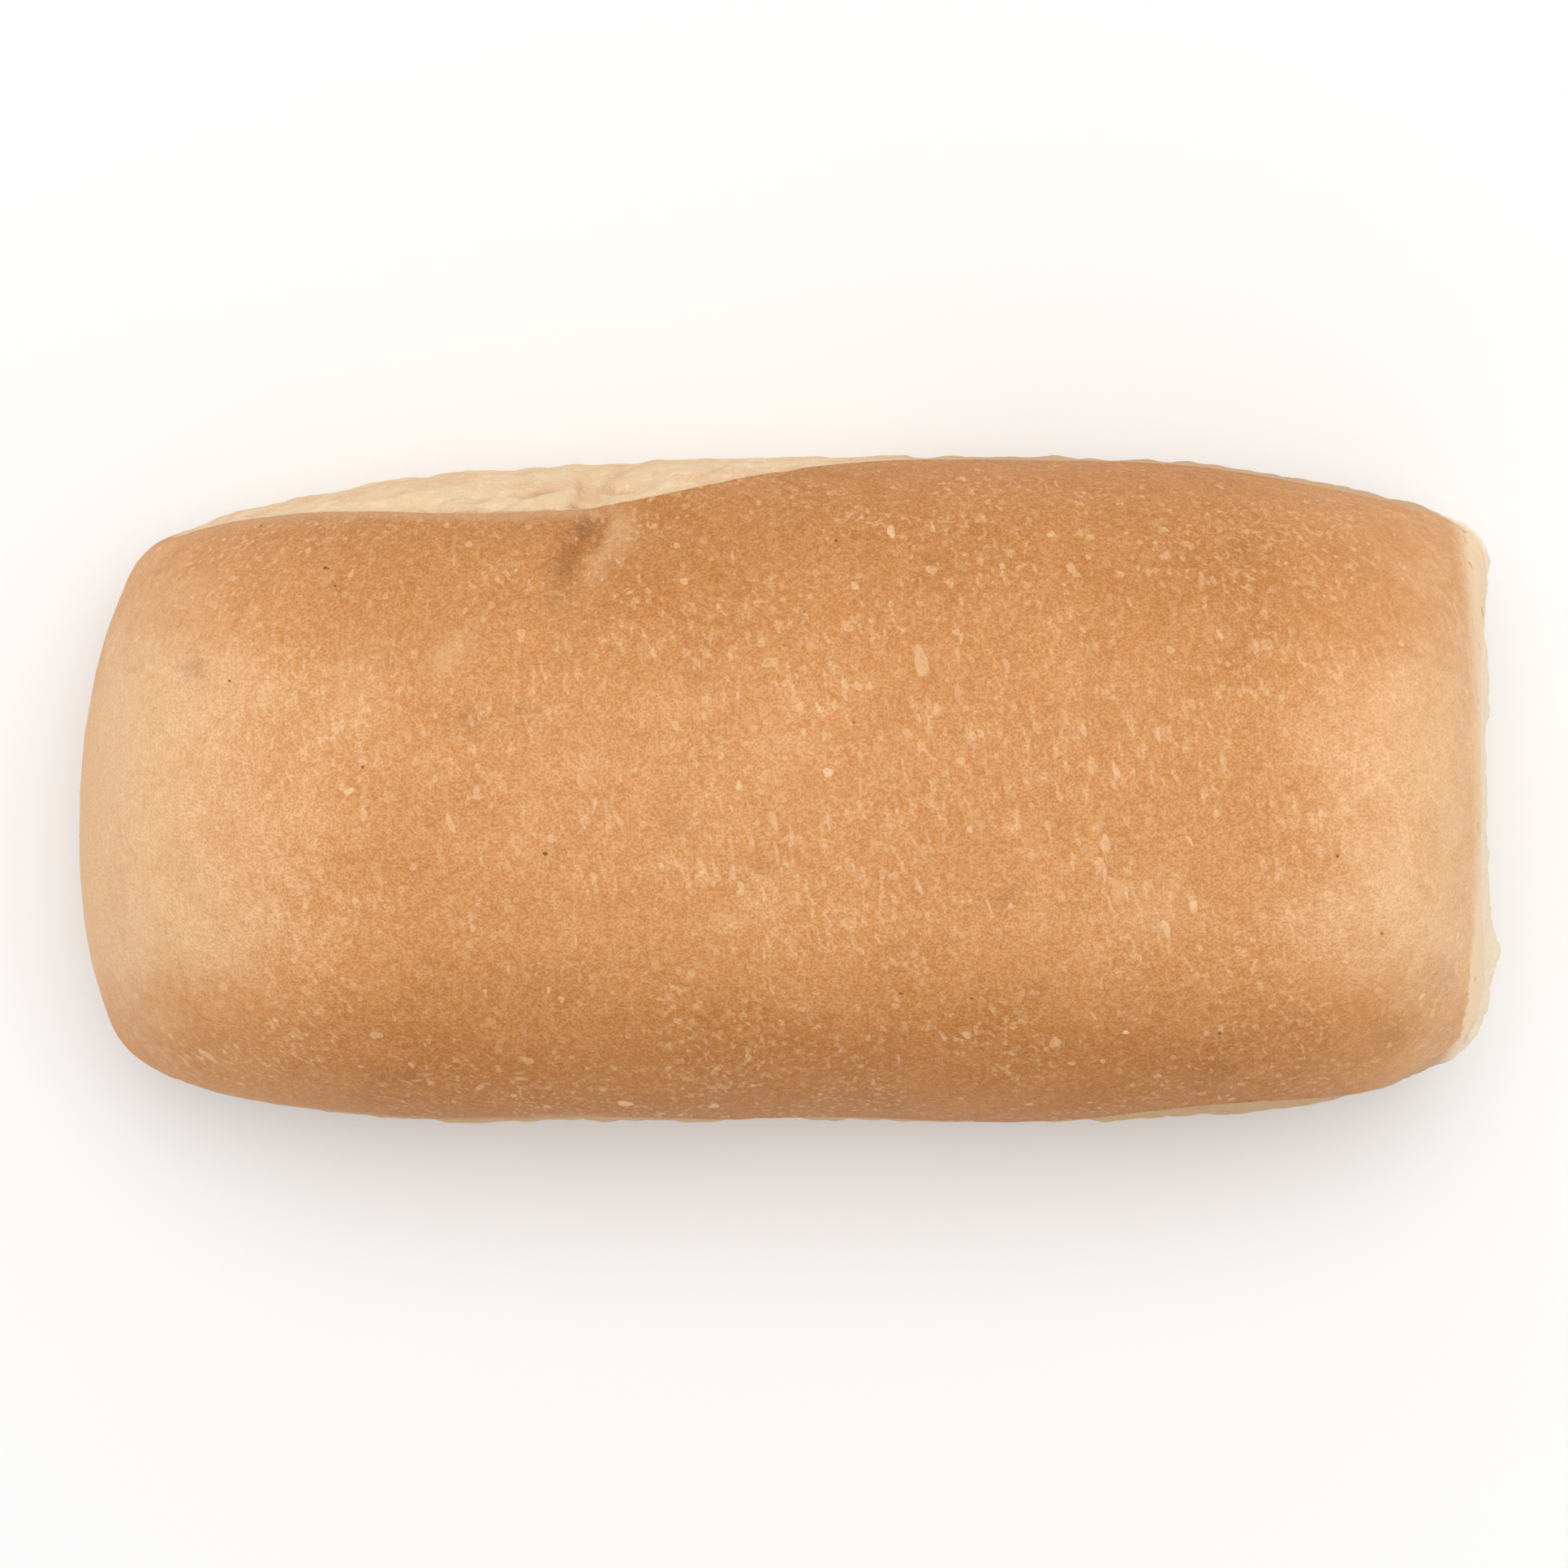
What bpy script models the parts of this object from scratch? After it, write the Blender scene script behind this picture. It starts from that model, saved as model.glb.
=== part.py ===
# A soft bread roll pulled from a batch: a browned cap over pale torn sides,
# rounded and crusted at its west end, torn open at its east end.
# X runs along the roll, Y across it, Z up; lengths are millimetres until the last step.

import math

import bmesh
import bpy
import numpy as np
from mathutils import Vector, noise

MM = 0.001
NAME = "roll"
COLLECTION = "bread_roll"

# Plan of the widest height: where the four sides would meet, and how far each swells.
CORNER_NW = (-63.3, 25.1)
CORNER_SW = (-66.2, -26.9)
CORNER_NE = (69.3, 26.3)
CORNER_SE = (69.0, -25.4)
NORTH_TOP = 33.1
NORTH_TOP_X = 15.0
SOUTH_LOW = -33.1
SOUTH_DIP = 0.5
SOUTH_DIP_X = 2.0
SOUTH_DIP_WIDE = 12.0
WEST_TIP = -69.8
WEST_TIP_Y = -3.0
EAST_HOLLOW = 0.7
CORNER_CUT = 3.6
CORNER_CUT_BASE = 12.0
SPINE_HALF = 48.0

# Heights.
CROWN = 47.0
CROWN_X = 10.0
CROWN_FALL = 0.0006
FLANK = 15.0

# How far in from each side the cap takes to reach its full height, and how square that shoulder is.
SHOULDER_LONG = 33.0
SHOULDER_LONG_POWER = 2.25
SHOULDER_WEST = 27.0
SHOULDER_WEST_POWER = 2.15
SHOULDER_EAST = 17.0
SHOULDER_EAST_POWER = 2.5

# How far the crust's rim lies in from the widest line.
RIM_LEAST = 1.2
NORTH_WALL_SHOWN = 5.0
NORTH_WALL_X = -22.0
NORTH_WALL_WEST = 25.0
NORTH_WALL_EAST = 20.0
SOUTH_RIM = 0.7
SOUTH_WALL_SHOWN = 1.6
RIM_WEST = 3.0
RIM_EAST = 3.0

# Lower edge: how far the base lies in from the widest line, and how high that rounding goes.
BASE_LONG = 4.5
BASE_WEST = 8.0
BASE_EAST = 3.0
ROUND_LONG = 10.0
ROUND_WEST = 14.0
ROUND_EAST = 8.0
CORNER_BLEND = 16.0

# Relief: the pinch in the north rim, the torn walls, the uneven cap.
PINCH_X = -18.9
PINCH_Y = 26.0
PINCH_END_Y = 12.0
PINCH_LEAN = 0.26
PINCH_DEEP = 1.9
PINCH_WEST = 2.4
PINCH_EAST = 5.0
FOLD_DEEP = 1.3
FOLD_WIDE = 1.5
FOLD_FOOT = 0.3
WALL_LUMP = 7.0
WALL_LUMP_HIGH = 0.45
TEAR = 2.6
TEAR_HIGH = 0.3
CAP_SWELL = 21.0
CAP_SWELL_HIGH = 0.4
RIM_LIP = 0.35
UNDERCUT = 0.45

# Places on the torn east end where crumb stands out: along Y, height, width, how far.
CRUMB_BUMPS = (
    (22.8, 20.0, 2.2, 0.7),
    (8.0, 19.0, 4.0, 0.3),
    (-8.5, 21.0, 3.2, 0.7),
    (-15.8, 19.0, 2.6, 1.5),
    (-1.0, 9.0, 5.0, -0.7),
    (15.0, 27.0, 3.5, -0.6),
    (-20.5, 9.0, 3.0, -0.5),
)

# Grid of the body: faces along the length, across it and up its sides.
ALONG = 76
ACROSS = 32
UP = 13
CROWD = 0.8
CROWD_ACROSS = 0.86
PINCH_CROWD = 0.42
PINCH_CROWD_WIDE = 9.0
BASE_CROWD = 0.5

CRUST_COLOUR = (0.69, 0.36, 0.15, 1.0)
CRUST_ROUGHNESS = 0.62


def mix(start, end, share):
    return start + (end - start) * share


def smooth(low, high, value):
    share = np.clip((value - low) / (high - low), 0.0, 1.0)
    return share * share * (3.0 - 2.0 * share)


def hill(value, middle, wide):
    return np.exp(-(((value - middle) / wide) ** 2))


def north_edge(x):
    """Y of the long north side at its widest height."""
    left = (NORTH_TOP_X - x).clip(0) / (NORTH_TOP_X - CORNER_NW[0])
    right = (x - NORTH_TOP_X).clip(0) / (CORNER_NE[0] - NORTH_TOP_X)
    left_fall = NORTH_TOP - CORNER_NW[1]
    right_fall = NORTH_TOP - CORNER_NE[1]
    return NORTH_TOP - left_fall * left**2.9 - right_fall * right**2.44


def south_edge(x):
    left = (-x).clip(0) / -CORNER_SW[0]
    right = x.clip(0) / CORNER_SE[0]
    left_rise = CORNER_SW[1] - SOUTH_LOW
    right_rise = CORNER_SE[1] - SOUTH_LOW
    dip = SOUTH_DIP * hill(x, SOUTH_DIP_X, SOUTH_DIP_WIDE)
    return SOUTH_LOW + dip + left_rise * left**5.3 + right_rise * right**4.94


def west_edge(y):
    """X of the rounded west end at its widest height."""
    up = (y - WEST_TIP_Y).clip(0) / (CORNER_NW[1] - WEST_TIP_Y)
    down = (WEST_TIP_Y - y).clip(0) / (WEST_TIP_Y - CORNER_SW[1])
    up_draw = CORNER_NW[0] - WEST_TIP
    down_draw = CORNER_SW[0] - WEST_TIP
    return WEST_TIP + up_draw * up**2.3 + down_draw * down**2.7


def east_edge(y):
    share = (y - CORNER_SE[1]) / (CORNER_NE[1] - CORNER_SE[1])
    hollow = EAST_HOLLOW * 4.0 * share * (1.0 - share)
    return mix(CORNER_SE[0], CORNER_NE[0], share) - hollow


def outline(u, v, side):
    """Point of the widest line on one side, u along the length and v across it from 0 to 1."""
    if side == "north":
        x = mix(CORNER_NW[0], CORNER_NE[0], u)
        return np.stack([x, north_edge(x)], axis=-1)
    if side == "south":
        x = mix(CORNER_SW[0], CORNER_SE[0], u)
        return np.stack([x, south_edge(x)], axis=-1)
    if side == "west":
        y = mix(CORNER_SW[1], CORNER_NW[1], v)
        return np.stack([west_edge(y), y], axis=-1)
    y = mix(CORNER_SE[1], CORNER_NE[1], v)
    return np.stack([east_edge(y), y], axis=-1)


def heading(side, corner):
    """Unit direction from a corner along one of its two sides."""
    step = 0.02
    if side in ("north", "south"):
        u = np.array([step if corner[0] < 0 else 1.0 - step])
        near = outline(u, None, side)[0]
    else:
        v = np.array([step if corner[1] < 0 else 1.0 - step])
        near = outline(None, v, side)[0]
    away = near - np.array(corner)
    return away / np.linalg.norm(away)


def corner_sides():
    return (
        (CORNER_NW, "north", "west"),
        (CORNER_SW, "south", "west"),
        (CORNER_NE, "north", "east"),
        (CORNER_SE, "south", "east"),
    )


def rounded(points, side, cut):
    """A side's line with its corners rounded, each by one short curve that starts cut away from it."""
    result = points.copy()
    for corner, first, second in corner_sides():
        if side not in (first, second):
            continue
        other = second if side == first else first
        along = heading(side, corner)
        beyond = heading(other, corner)
        gone = np.linalg.norm(points - np.array(corner), axis=-1)
        turn = 0.5 * (1.0 - np.clip(gone / cut, 0.0, 1.0))[:, None]
        curve = cut[:, None] * ((1.0 - turn) ** 2 * along + turn**2 * beyond)
        straight = np.minimum(gone, cut)[:, None] * along
        result += curve - straight
    return result


def side_shares(points, side):
    """How much each side's sizes count at a point of the outline: all its own, except near a corner."""
    shares = {name: np.zeros(len(points)) for name in ("north", "south", "west", "east")}
    own = np.ones(len(points))
    for corner, first, second in corner_sides():
        if side not in (first, second):
            continue
        other = second if side == first else first
        gone = np.linalg.norm(points - np.array(corner), axis=-1)
        given = 0.5 * (1.0 - smooth(0.0, CORNER_BLEND, gone))
        shares[other] += given
        own -= given
    shares[side] += own
    return shares


def blended(shares, north, south, west, east):
    return (
        shares["north"] * north
        + shares["south"] * south
        + shares["west"] * west
        + shares["east"] * east
    )


def inward(points):
    """Level unit direction from the outline to the nearest point of the roll's spine."""
    spine = np.stack([points[..., 0].clip(-SPINE_HALF, SPINE_HALF), np.zeros(len(points))], axis=-1)
    away = spine - points
    return away / np.linalg.norm(away, axis=-1, keepdims=True)


def north_rim(x):
    wide = np.where(x < NORTH_WALL_X, NORTH_WALL_WEST, NORTH_WALL_EAST)
    return RIM_LEAST + NORTH_WALL_SHOWN * np.exp(-(np.abs((x - NORTH_WALL_X) / wide) ** 2.1))


def south_rim(x):
    shown = 0.6 * hill(x, -20.0, 14.0) + hill(x, 49.0, 12.0)
    return SOUTH_RIM + SOUTH_WALL_SHOWN * shown


def rim_inset(points, shares):
    x = points[..., 0]
    return blended(shares, north_rim(x), south_rim(x), RIM_WEST, RIM_EAST)


def shoulder(distance, reach, power):
    share = 1.0 - np.clip(distance / reach, 0.0, 1.0)
    return (1.0 - share**power) ** (1.0 / power)


def cap_height(x, y):
    """Height of the browned cap over a point of the plan."""
    rise = shoulder(north_edge(x) - y, SHOULDER_LONG, SHOULDER_LONG_POWER)
    rise = rise * shoulder(y - south_edge(x), SHOULDER_LONG, SHOULDER_LONG_POWER)
    rise = rise * shoulder(x - west_edge(y), SHOULDER_WEST, SHOULDER_WEST_POWER)
    rise = rise * shoulder(east_edge(y) - x, SHOULDER_EAST, SHOULDER_EAST_POWER)
    crown = CROWN - CROWN_FALL * (x - CROWN_X) ** 2
    return FLANK + (crown - FLANK) * rise


def side_points(u, v, level, side):
    """Points of a side, level 0 at the base and 1 at the crust's rim."""
    sharp = outline(u, v, side)
    shares = side_shares(sharp, side)
    widest = rounded(sharp, side, np.full(len(sharp), CORNER_CUT))
    towards = inward(widest)
    inset = rim_inset(widest, shares)
    rim = widest + towards * inset[:, None]
    top = cap_height(rim[:, 0], rim[:, 1])
    height = top * (level - BASE_CROWD * np.sin(2 * math.pi * level) / (2 * math.pi))

    flank = np.minimum(FLANK, 0.75 * top)
    climb = np.clip((height - flank) / (top - flank), 0.0, 1.0)
    torn_wall = inset * climb**1.7
    rim_rise = shoulder(inset, SHOULDER_WEST, SHOULDER_WEST_POWER)
    lift = (climb * rim_rise) ** SHOULDER_WEST_POWER
    crusted = SHOULDER_WEST * (1.0 - (1.0 - lift) ** (1.0 / SHOULDER_WEST_POWER))
    upper = mix(torn_wall, crusted, shares["west"])

    base = blended(shares, BASE_LONG, BASE_LONG, BASE_WEST, BASE_EAST)
    rounding = blended(shares, ROUND_LONG, ROUND_LONG, ROUND_WEST, ROUND_EAST)
    lower = base * (1.0 - height / rounding).clip(0) ** 2.2

    cut = mix(CORNER_CUT_BASE, CORNER_CUT, smooth(0.0, FLANK, height))
    plan = rounded(sharp, side, cut) + towards * (upper + lower)[:, None]
    return np.column_stack([plan, height])


def cap_points(u, v):
    """Points of the cap, filled in between the four runs of the crust's rim."""
    zeros = np.zeros(len(u))
    ones = np.ones(len(u))
    south = side_points(u, zeros, ones, "south")[:, :2]
    north = side_points(u, ones, ones, "north")[:, :2]
    west = side_points(zeros, v, ones, "west")[:, :2]
    east = side_points(ones, v, ones, "east")[:, :2]
    south_west = side_points(zeros, zeros, ones, "south")[:, :2]
    south_east = side_points(ones, zeros, ones, "south")[:, :2]
    north_west = side_points(zeros, ones, ones, "north")[:, :2]
    north_east = side_points(ones, ones, ones, "north")[:, :2]
    u = u[:, None]
    v = v[:, None]
    lengthwise = mix(south, north, v)
    crosswise = mix(west, east, u)
    corners = mix(mix(south_west, south_east, u), mix(north_west, north_east, u), v)
    plan = lengthwise + crosswise - corners
    return np.column_stack([plan, cap_height(plan[:, 0], plan[:, 1])])


def spread(value, crowd):
    """Grid place from -1 to 1 moved outward, so that rows crowd towards both ends; as a share from 0 to 1."""
    bend = 0.5 * math.pi * crowd
    return 0.5 + 0.5 * np.sin(bend * value) / math.sin(bend)


def crowd_at_pinch(u):
    length = CORNER_NE[0] - CORNER_NW[0]
    x = mix(CORNER_NW[0], CORNER_NE[0], u)
    pull = PINCH_CROWD * (x - PINCH_X) * hill(x, PINCH_X, PINCH_CROWD_WIDE)
    return u - pull / length


def box_grid():
    """A cube cut into the body's grid: one box for every solid face of the roll."""
    mesh = bmesh.new()
    bmesh.ops.create_cube(mesh, size=2.0)
    for axis, count in ((0, ALONG), (1, ACROSS), (2, UP)):
        edges = [
            edge
            for edge in mesh.edges
            if abs(edge.verts[0].co[axis] - edge.verts[1].co[axis]) > 1.0
        ]
        bmesh.ops.subdivide_edges(mesh, edges=edges, cuts=count - 1, use_grid_fill=True)
    return mesh


def join_base(mesh):
    """The base becomes one flat fan of triangles round a point in its middle."""
    base = [face for face in mesh.faces if face.normal.z < -0.99]
    joined = bmesh.ops.dissolve_faces(mesh, faces=base, use_verts=False)["region"]
    bmesh.ops.poke(mesh, faces=joined)


def shape(grid):
    """Place for every vertex of the box grid, and its level up the side."""
    u = crowd_at_pinch(spread(grid[:, 0], CROWD))
    v = spread(grid[:, 1], CROWD_ACROSS)
    level = 0.5 + 0.5 * grid[:, 2]
    edge = 0.9999
    between = np.abs(grid[:, 1]) < edge
    sides = (
        ("north", grid[:, 1] > edge),
        ("south", grid[:, 1] < -edge),
        ("west", between & (grid[:, 0] < -edge)),
        ("east", between & (grid[:, 0] > edge)),
    )
    placed = np.zeros_like(grid)
    torn = np.zeros(len(grid))
    for side, picked in sides:
        placed[picked] = side_points(u[picked], v[picked], level[picked], side)
        shares = side_shares(outline(u[picked], v[picked], side), side)
        torn[picked] = 1.0 - smooth(0.3, 0.5, shares["west"])
    cap = between & (grid[:, 2] > edge) & (np.abs(grid[:, 0]) < edge)
    placed[cap] = cap_points(u[cap], v[cap])
    return placed, level, torn


def noise_at(points, size, seed):
    offset = Vector((seed, 2.0 * seed, 3.0 * seed))
    return np.array([noise.noise(Vector(point) / size + offset) for point in points])


def pinch_relief(x, y):
    """The crust drawn in where the wall's fold meets the rim; it fades towards the middle."""
    middle = PINCH_X - PINCH_LEAN * (PINCH_Y - y)
    wide = np.where(x < middle, PINCH_WEST, PINCH_EAST)
    return -PINCH_DEEP * hill(x, middle, wide) * smooth(PINCH_END_Y, PINCH_Y, y)


def cap_relief(points):
    x, y = points[:, 0], points[:, 1]
    swell = CAP_SWELL_HIGH * noise_at(points, CAP_SWELL, 1.7)
    return pinch_relief(x, y) + swell


def wall_relief(points):
    """Soft lumps and tears of the walls where the roll was pulled from its neighbours."""
    x, y = points[:, 0], points[:, 1]
    stretched = points * np.array([1.0, 1.0, 0.7])
    relief = WALL_LUMP_HIGH * noise_at(stretched, WALL_LUMP, 4.1)
    relief += TEAR_HIGH * noise_at(stretched, TEAR, 7.3)
    north = smooth(15.0, 25.0, y)
    deep = FOLD_DEEP * mix(FOLD_FOOT, 1.0, smooth(FLANK, 2.0 * FLANK, points[:, 2]))
    relief -= deep * north * hill(x, PINCH_X, FOLD_WIDE)
    return relief


def crumb_relief(points):
    """Crumb that stands out of, or is torn from, the east end."""
    y, z = points[:, 1], points[:, 2]
    relief = np.zeros(len(points))
    for place_y, place_z, wide, out in CRUMB_BUMPS:
        relief += out * hill(y, place_y, wide) * hill(z, place_z, 2.0 * wide)
    return relief * smooth(60.0, 67.0, points[:, 0])


def relief(points, level, torn):
    """How far each point stands out of the plain form."""
    under_rim = torn * (1.0 - smooth(0.9, 1.0, level))
    above_base = smooth(0.0, 0.25, level)
    wall = wall_relief(points) + crumb_relief(points)
    wall -= UNDERCUT * hill(level, 0.9, 0.07)
    lip = RIM_LIP * torn * (level > 0.999)
    return above_base * mix(cap_relief(points), wall, under_rim) + lip


def normals(mesh):
    mesh.normal_update()
    return np.array([vertex.normal for vertex in mesh.verts])


def move_all(mesh, points):
    for vertex, point in zip(mesh.verts, points):
        vertex.co = point


def centred(points):
    """Moves the roll so that its box stands centred on the origin, base at Z = 0."""
    low = points.min(axis=0)
    high = points.max(axis=0)
    middle = 0.5 * (low + high)
    return points - np.array([middle[0], middle[1], low[2]])


def crust_material():
    material = bpy.data.materials.new("crust")
    material.use_nodes = True
    shader = material.node_tree.nodes["Principled BSDF"]
    shader.inputs["Base Color"].default_value = CRUST_COLOUR
    shader.inputs["Roughness"].default_value = CRUST_ROUGHNESS
    shader.inputs["Metallic"].default_value = 0.0
    material.diffuse_color = CRUST_COLOUR
    return material


def make_roll(collection):
    mesh = box_grid()
    join_base(mesh)
    grid = np.array([vertex.co for vertex in mesh.verts])
    plain, level, torn = shape(grid)
    move_all(mesh, plain)
    formed = plain + normals(mesh) * relief(plain, level, torn)[:, None]
    formed[level < 0.001, 2] = 0.0
    move_all(mesh, centred(formed) * MM)
    data = bpy.data.meshes.new(NAME)
    mesh.to_mesh(data)
    mesh.free()
    data.materials.append(crust_material())
    roll = bpy.data.objects.new(NAME, data)
    collection.objects.link(roll)


def clear_scene():
    for old in list(bpy.data.objects):
        bpy.data.objects.remove(old, do_unlink=True)


def main():
    clear_scene()
    collection = bpy.data.collections.new(COLLECTION)
    bpy.context.scene.collection.children.link(collection)
    make_roll(collection)


main()
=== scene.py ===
import math

import bmesh
import bpy
import numpy as np
from mathutils import Matrix, Vector, noise
from mathutils.bvhtree import BVHTree
from mathutils.kdtree import KDTree


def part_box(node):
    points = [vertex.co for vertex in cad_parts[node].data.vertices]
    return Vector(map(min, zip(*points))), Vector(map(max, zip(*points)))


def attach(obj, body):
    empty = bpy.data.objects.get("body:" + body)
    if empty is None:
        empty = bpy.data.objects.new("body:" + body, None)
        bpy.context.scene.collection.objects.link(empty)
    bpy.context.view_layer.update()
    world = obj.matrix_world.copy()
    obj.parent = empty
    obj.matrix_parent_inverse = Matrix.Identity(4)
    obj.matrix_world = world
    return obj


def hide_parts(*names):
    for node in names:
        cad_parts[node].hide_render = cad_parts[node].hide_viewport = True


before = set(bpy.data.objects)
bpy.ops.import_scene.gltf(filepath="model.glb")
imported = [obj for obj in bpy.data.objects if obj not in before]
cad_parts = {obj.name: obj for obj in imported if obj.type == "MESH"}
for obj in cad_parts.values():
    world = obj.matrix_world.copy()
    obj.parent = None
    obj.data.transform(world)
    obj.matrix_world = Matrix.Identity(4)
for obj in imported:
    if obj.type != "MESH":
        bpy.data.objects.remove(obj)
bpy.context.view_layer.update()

# A soft bread roll pulled from a batch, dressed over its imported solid.
# Lengths in the dictionaries are millimetres, along the roll in X and across it in Y.

mm = 0.001
sideNames = ("north", "south", "west", "east")

camera = {
    "at": (-0.47, 0.45),  # straight over the middle of the picture
    "over": 431.4,  # above the height where the roll is widest
    "widest": 17.0,
    "lens": 100.0,
    "sensor": 36.0,
    "picture": 1932,
}

# The form is the solid's own, worked out again on a finer grid.
form = {
    "cornerNorthWest": (-64.2, 24.1),
    "cornerSouthWest": (-66.1, -26.5),
    "cornerNorthEast": (69.4, 25.65),
    "cornerSouthEast": (69.7, -24.5),
    "northTop": 32.8,
    "northTopX": 20.0,
    "northBend": (3.66, 2.45),  # how suddenly the side turns in, left and right
    "southLow": -33.05,
    "southDip": 0.4,
    "southDipX": 2.0,
    "southDipWide": 12.0,
    "southBend": (5.33, 5.34),
    "westTip": -70.0,
    "westTipY": -4.6,
    "westBend": (2.16, 2.21),
    "eastHollow": 0.8,
    "cornerCuts": (3.4, 3.8, 4.0, 6.0),  # north-west, south-west, north-east, south-east
    "cornerCutBase": 12.0,
    "spineHalf": 48.0,
    "crown": 47.0,
    "crownX": 10.0,
    "crownFall": 0.0006,
    "flank": 15.0,
    "shoulderLong": (33.0, 2.25),  # reach in from the side, squareness
    "shoulderWest": (27.0, 2.15),
    "shoulderEast": (17.0, 2.5),
    "rimLeastWest": 0.3,
    "rimLeastEast": 1.0,
    "northWallShown": 5.4,
    "northWallX": -23.0,
    "northWallWest": 26.0,
    "northWallEast": 21.0,
    "northWallBend": 2.1,
    "northEndLess": 0.5,  # the wall narrows again towards the north-east corner
    "southRim": 0.35,
    "southWallShown": 1.45,
    "southWallX": (-18.0, 44.0),
    "southWallWide": (12.0, 13.0),
    "southEndShown": 1.0,
    "rimWest": 0.7,
    "rimEast": (3.4, 2.7),  # south half, north half
    "rimEastLess": 1.3,  # how much narrower it is at the north-east corner
    "baseInset": (4.5, 4.5, 8.0, 3.0),  # north, south, west, east
    "baseRounding": (10.0, 10.0, 14.0, 8.0),
    "tornBend": 1.7,
    "baseBend": 2.2,
    "cornerBlend": 16.0,
}

relief = {
    "pinchX": -18.0,
    "pinchStep": 2.2,  # the pinch's bottom steps west below its mouth
    "pinchStepY": 22.6,
    "pinchStepLong": 1.6,
    "pinchY": 26.5,
    "pinchEndY": 13.0,
    "pinchDeep": 2.7,
    "pinchWest": 2.4,
    "pinchEast": 5.0,
    "pinchSharp": 1.5,
    "pinchRise": 15.0,
    "foldX": -19.2,
    "foldDeep": 1.1,
    "foldWide": 1.5,
    "foldFoot": 0.3,
    "wallLump": 7.0,
    "wallLumpHigh": 0.45,
    "tear": 2.6,
    "tearHigh": 0.36,
    "capSwell": 21.0,
    "capSwellHigh": 0.4,
    "rimLip": 0.08,
    "undercut": 0.15,
    "baseFade": 6.0,
    # Crumb on the torn east end: along Y, height, width, how far out.
    "crumbBumps": (
        (22.8, 20.0, 2.0, 0.4),
        (8.0, 19.0, 4.0, 0.2),
        (-8.5, 21.0, 3.2, 0.3),
        (-15.8, 19.0, 2.8, 1.1),
        (-1.0, 9.0, 5.0, -0.7),
        (15.0, 27.0, 3.5, -0.6),
        (-20.5, 9.0, 3.0, -0.5),
    ),
}

# Relief too fine for the solid: size, height.
fineRelief = {
    "capUneven": (4.2, 0.05),
    "capGrain": (1.5, 0.03),
    "crease": 6.0,
    "creaseDeep": 0.3,
    "creaseThin": 0.06,
    "crumbPit": (1.5, 0.22),
    "crumbGrain": (0.8, 0.16),
    "wallGrain": (1.2, 0.08),
}

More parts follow.
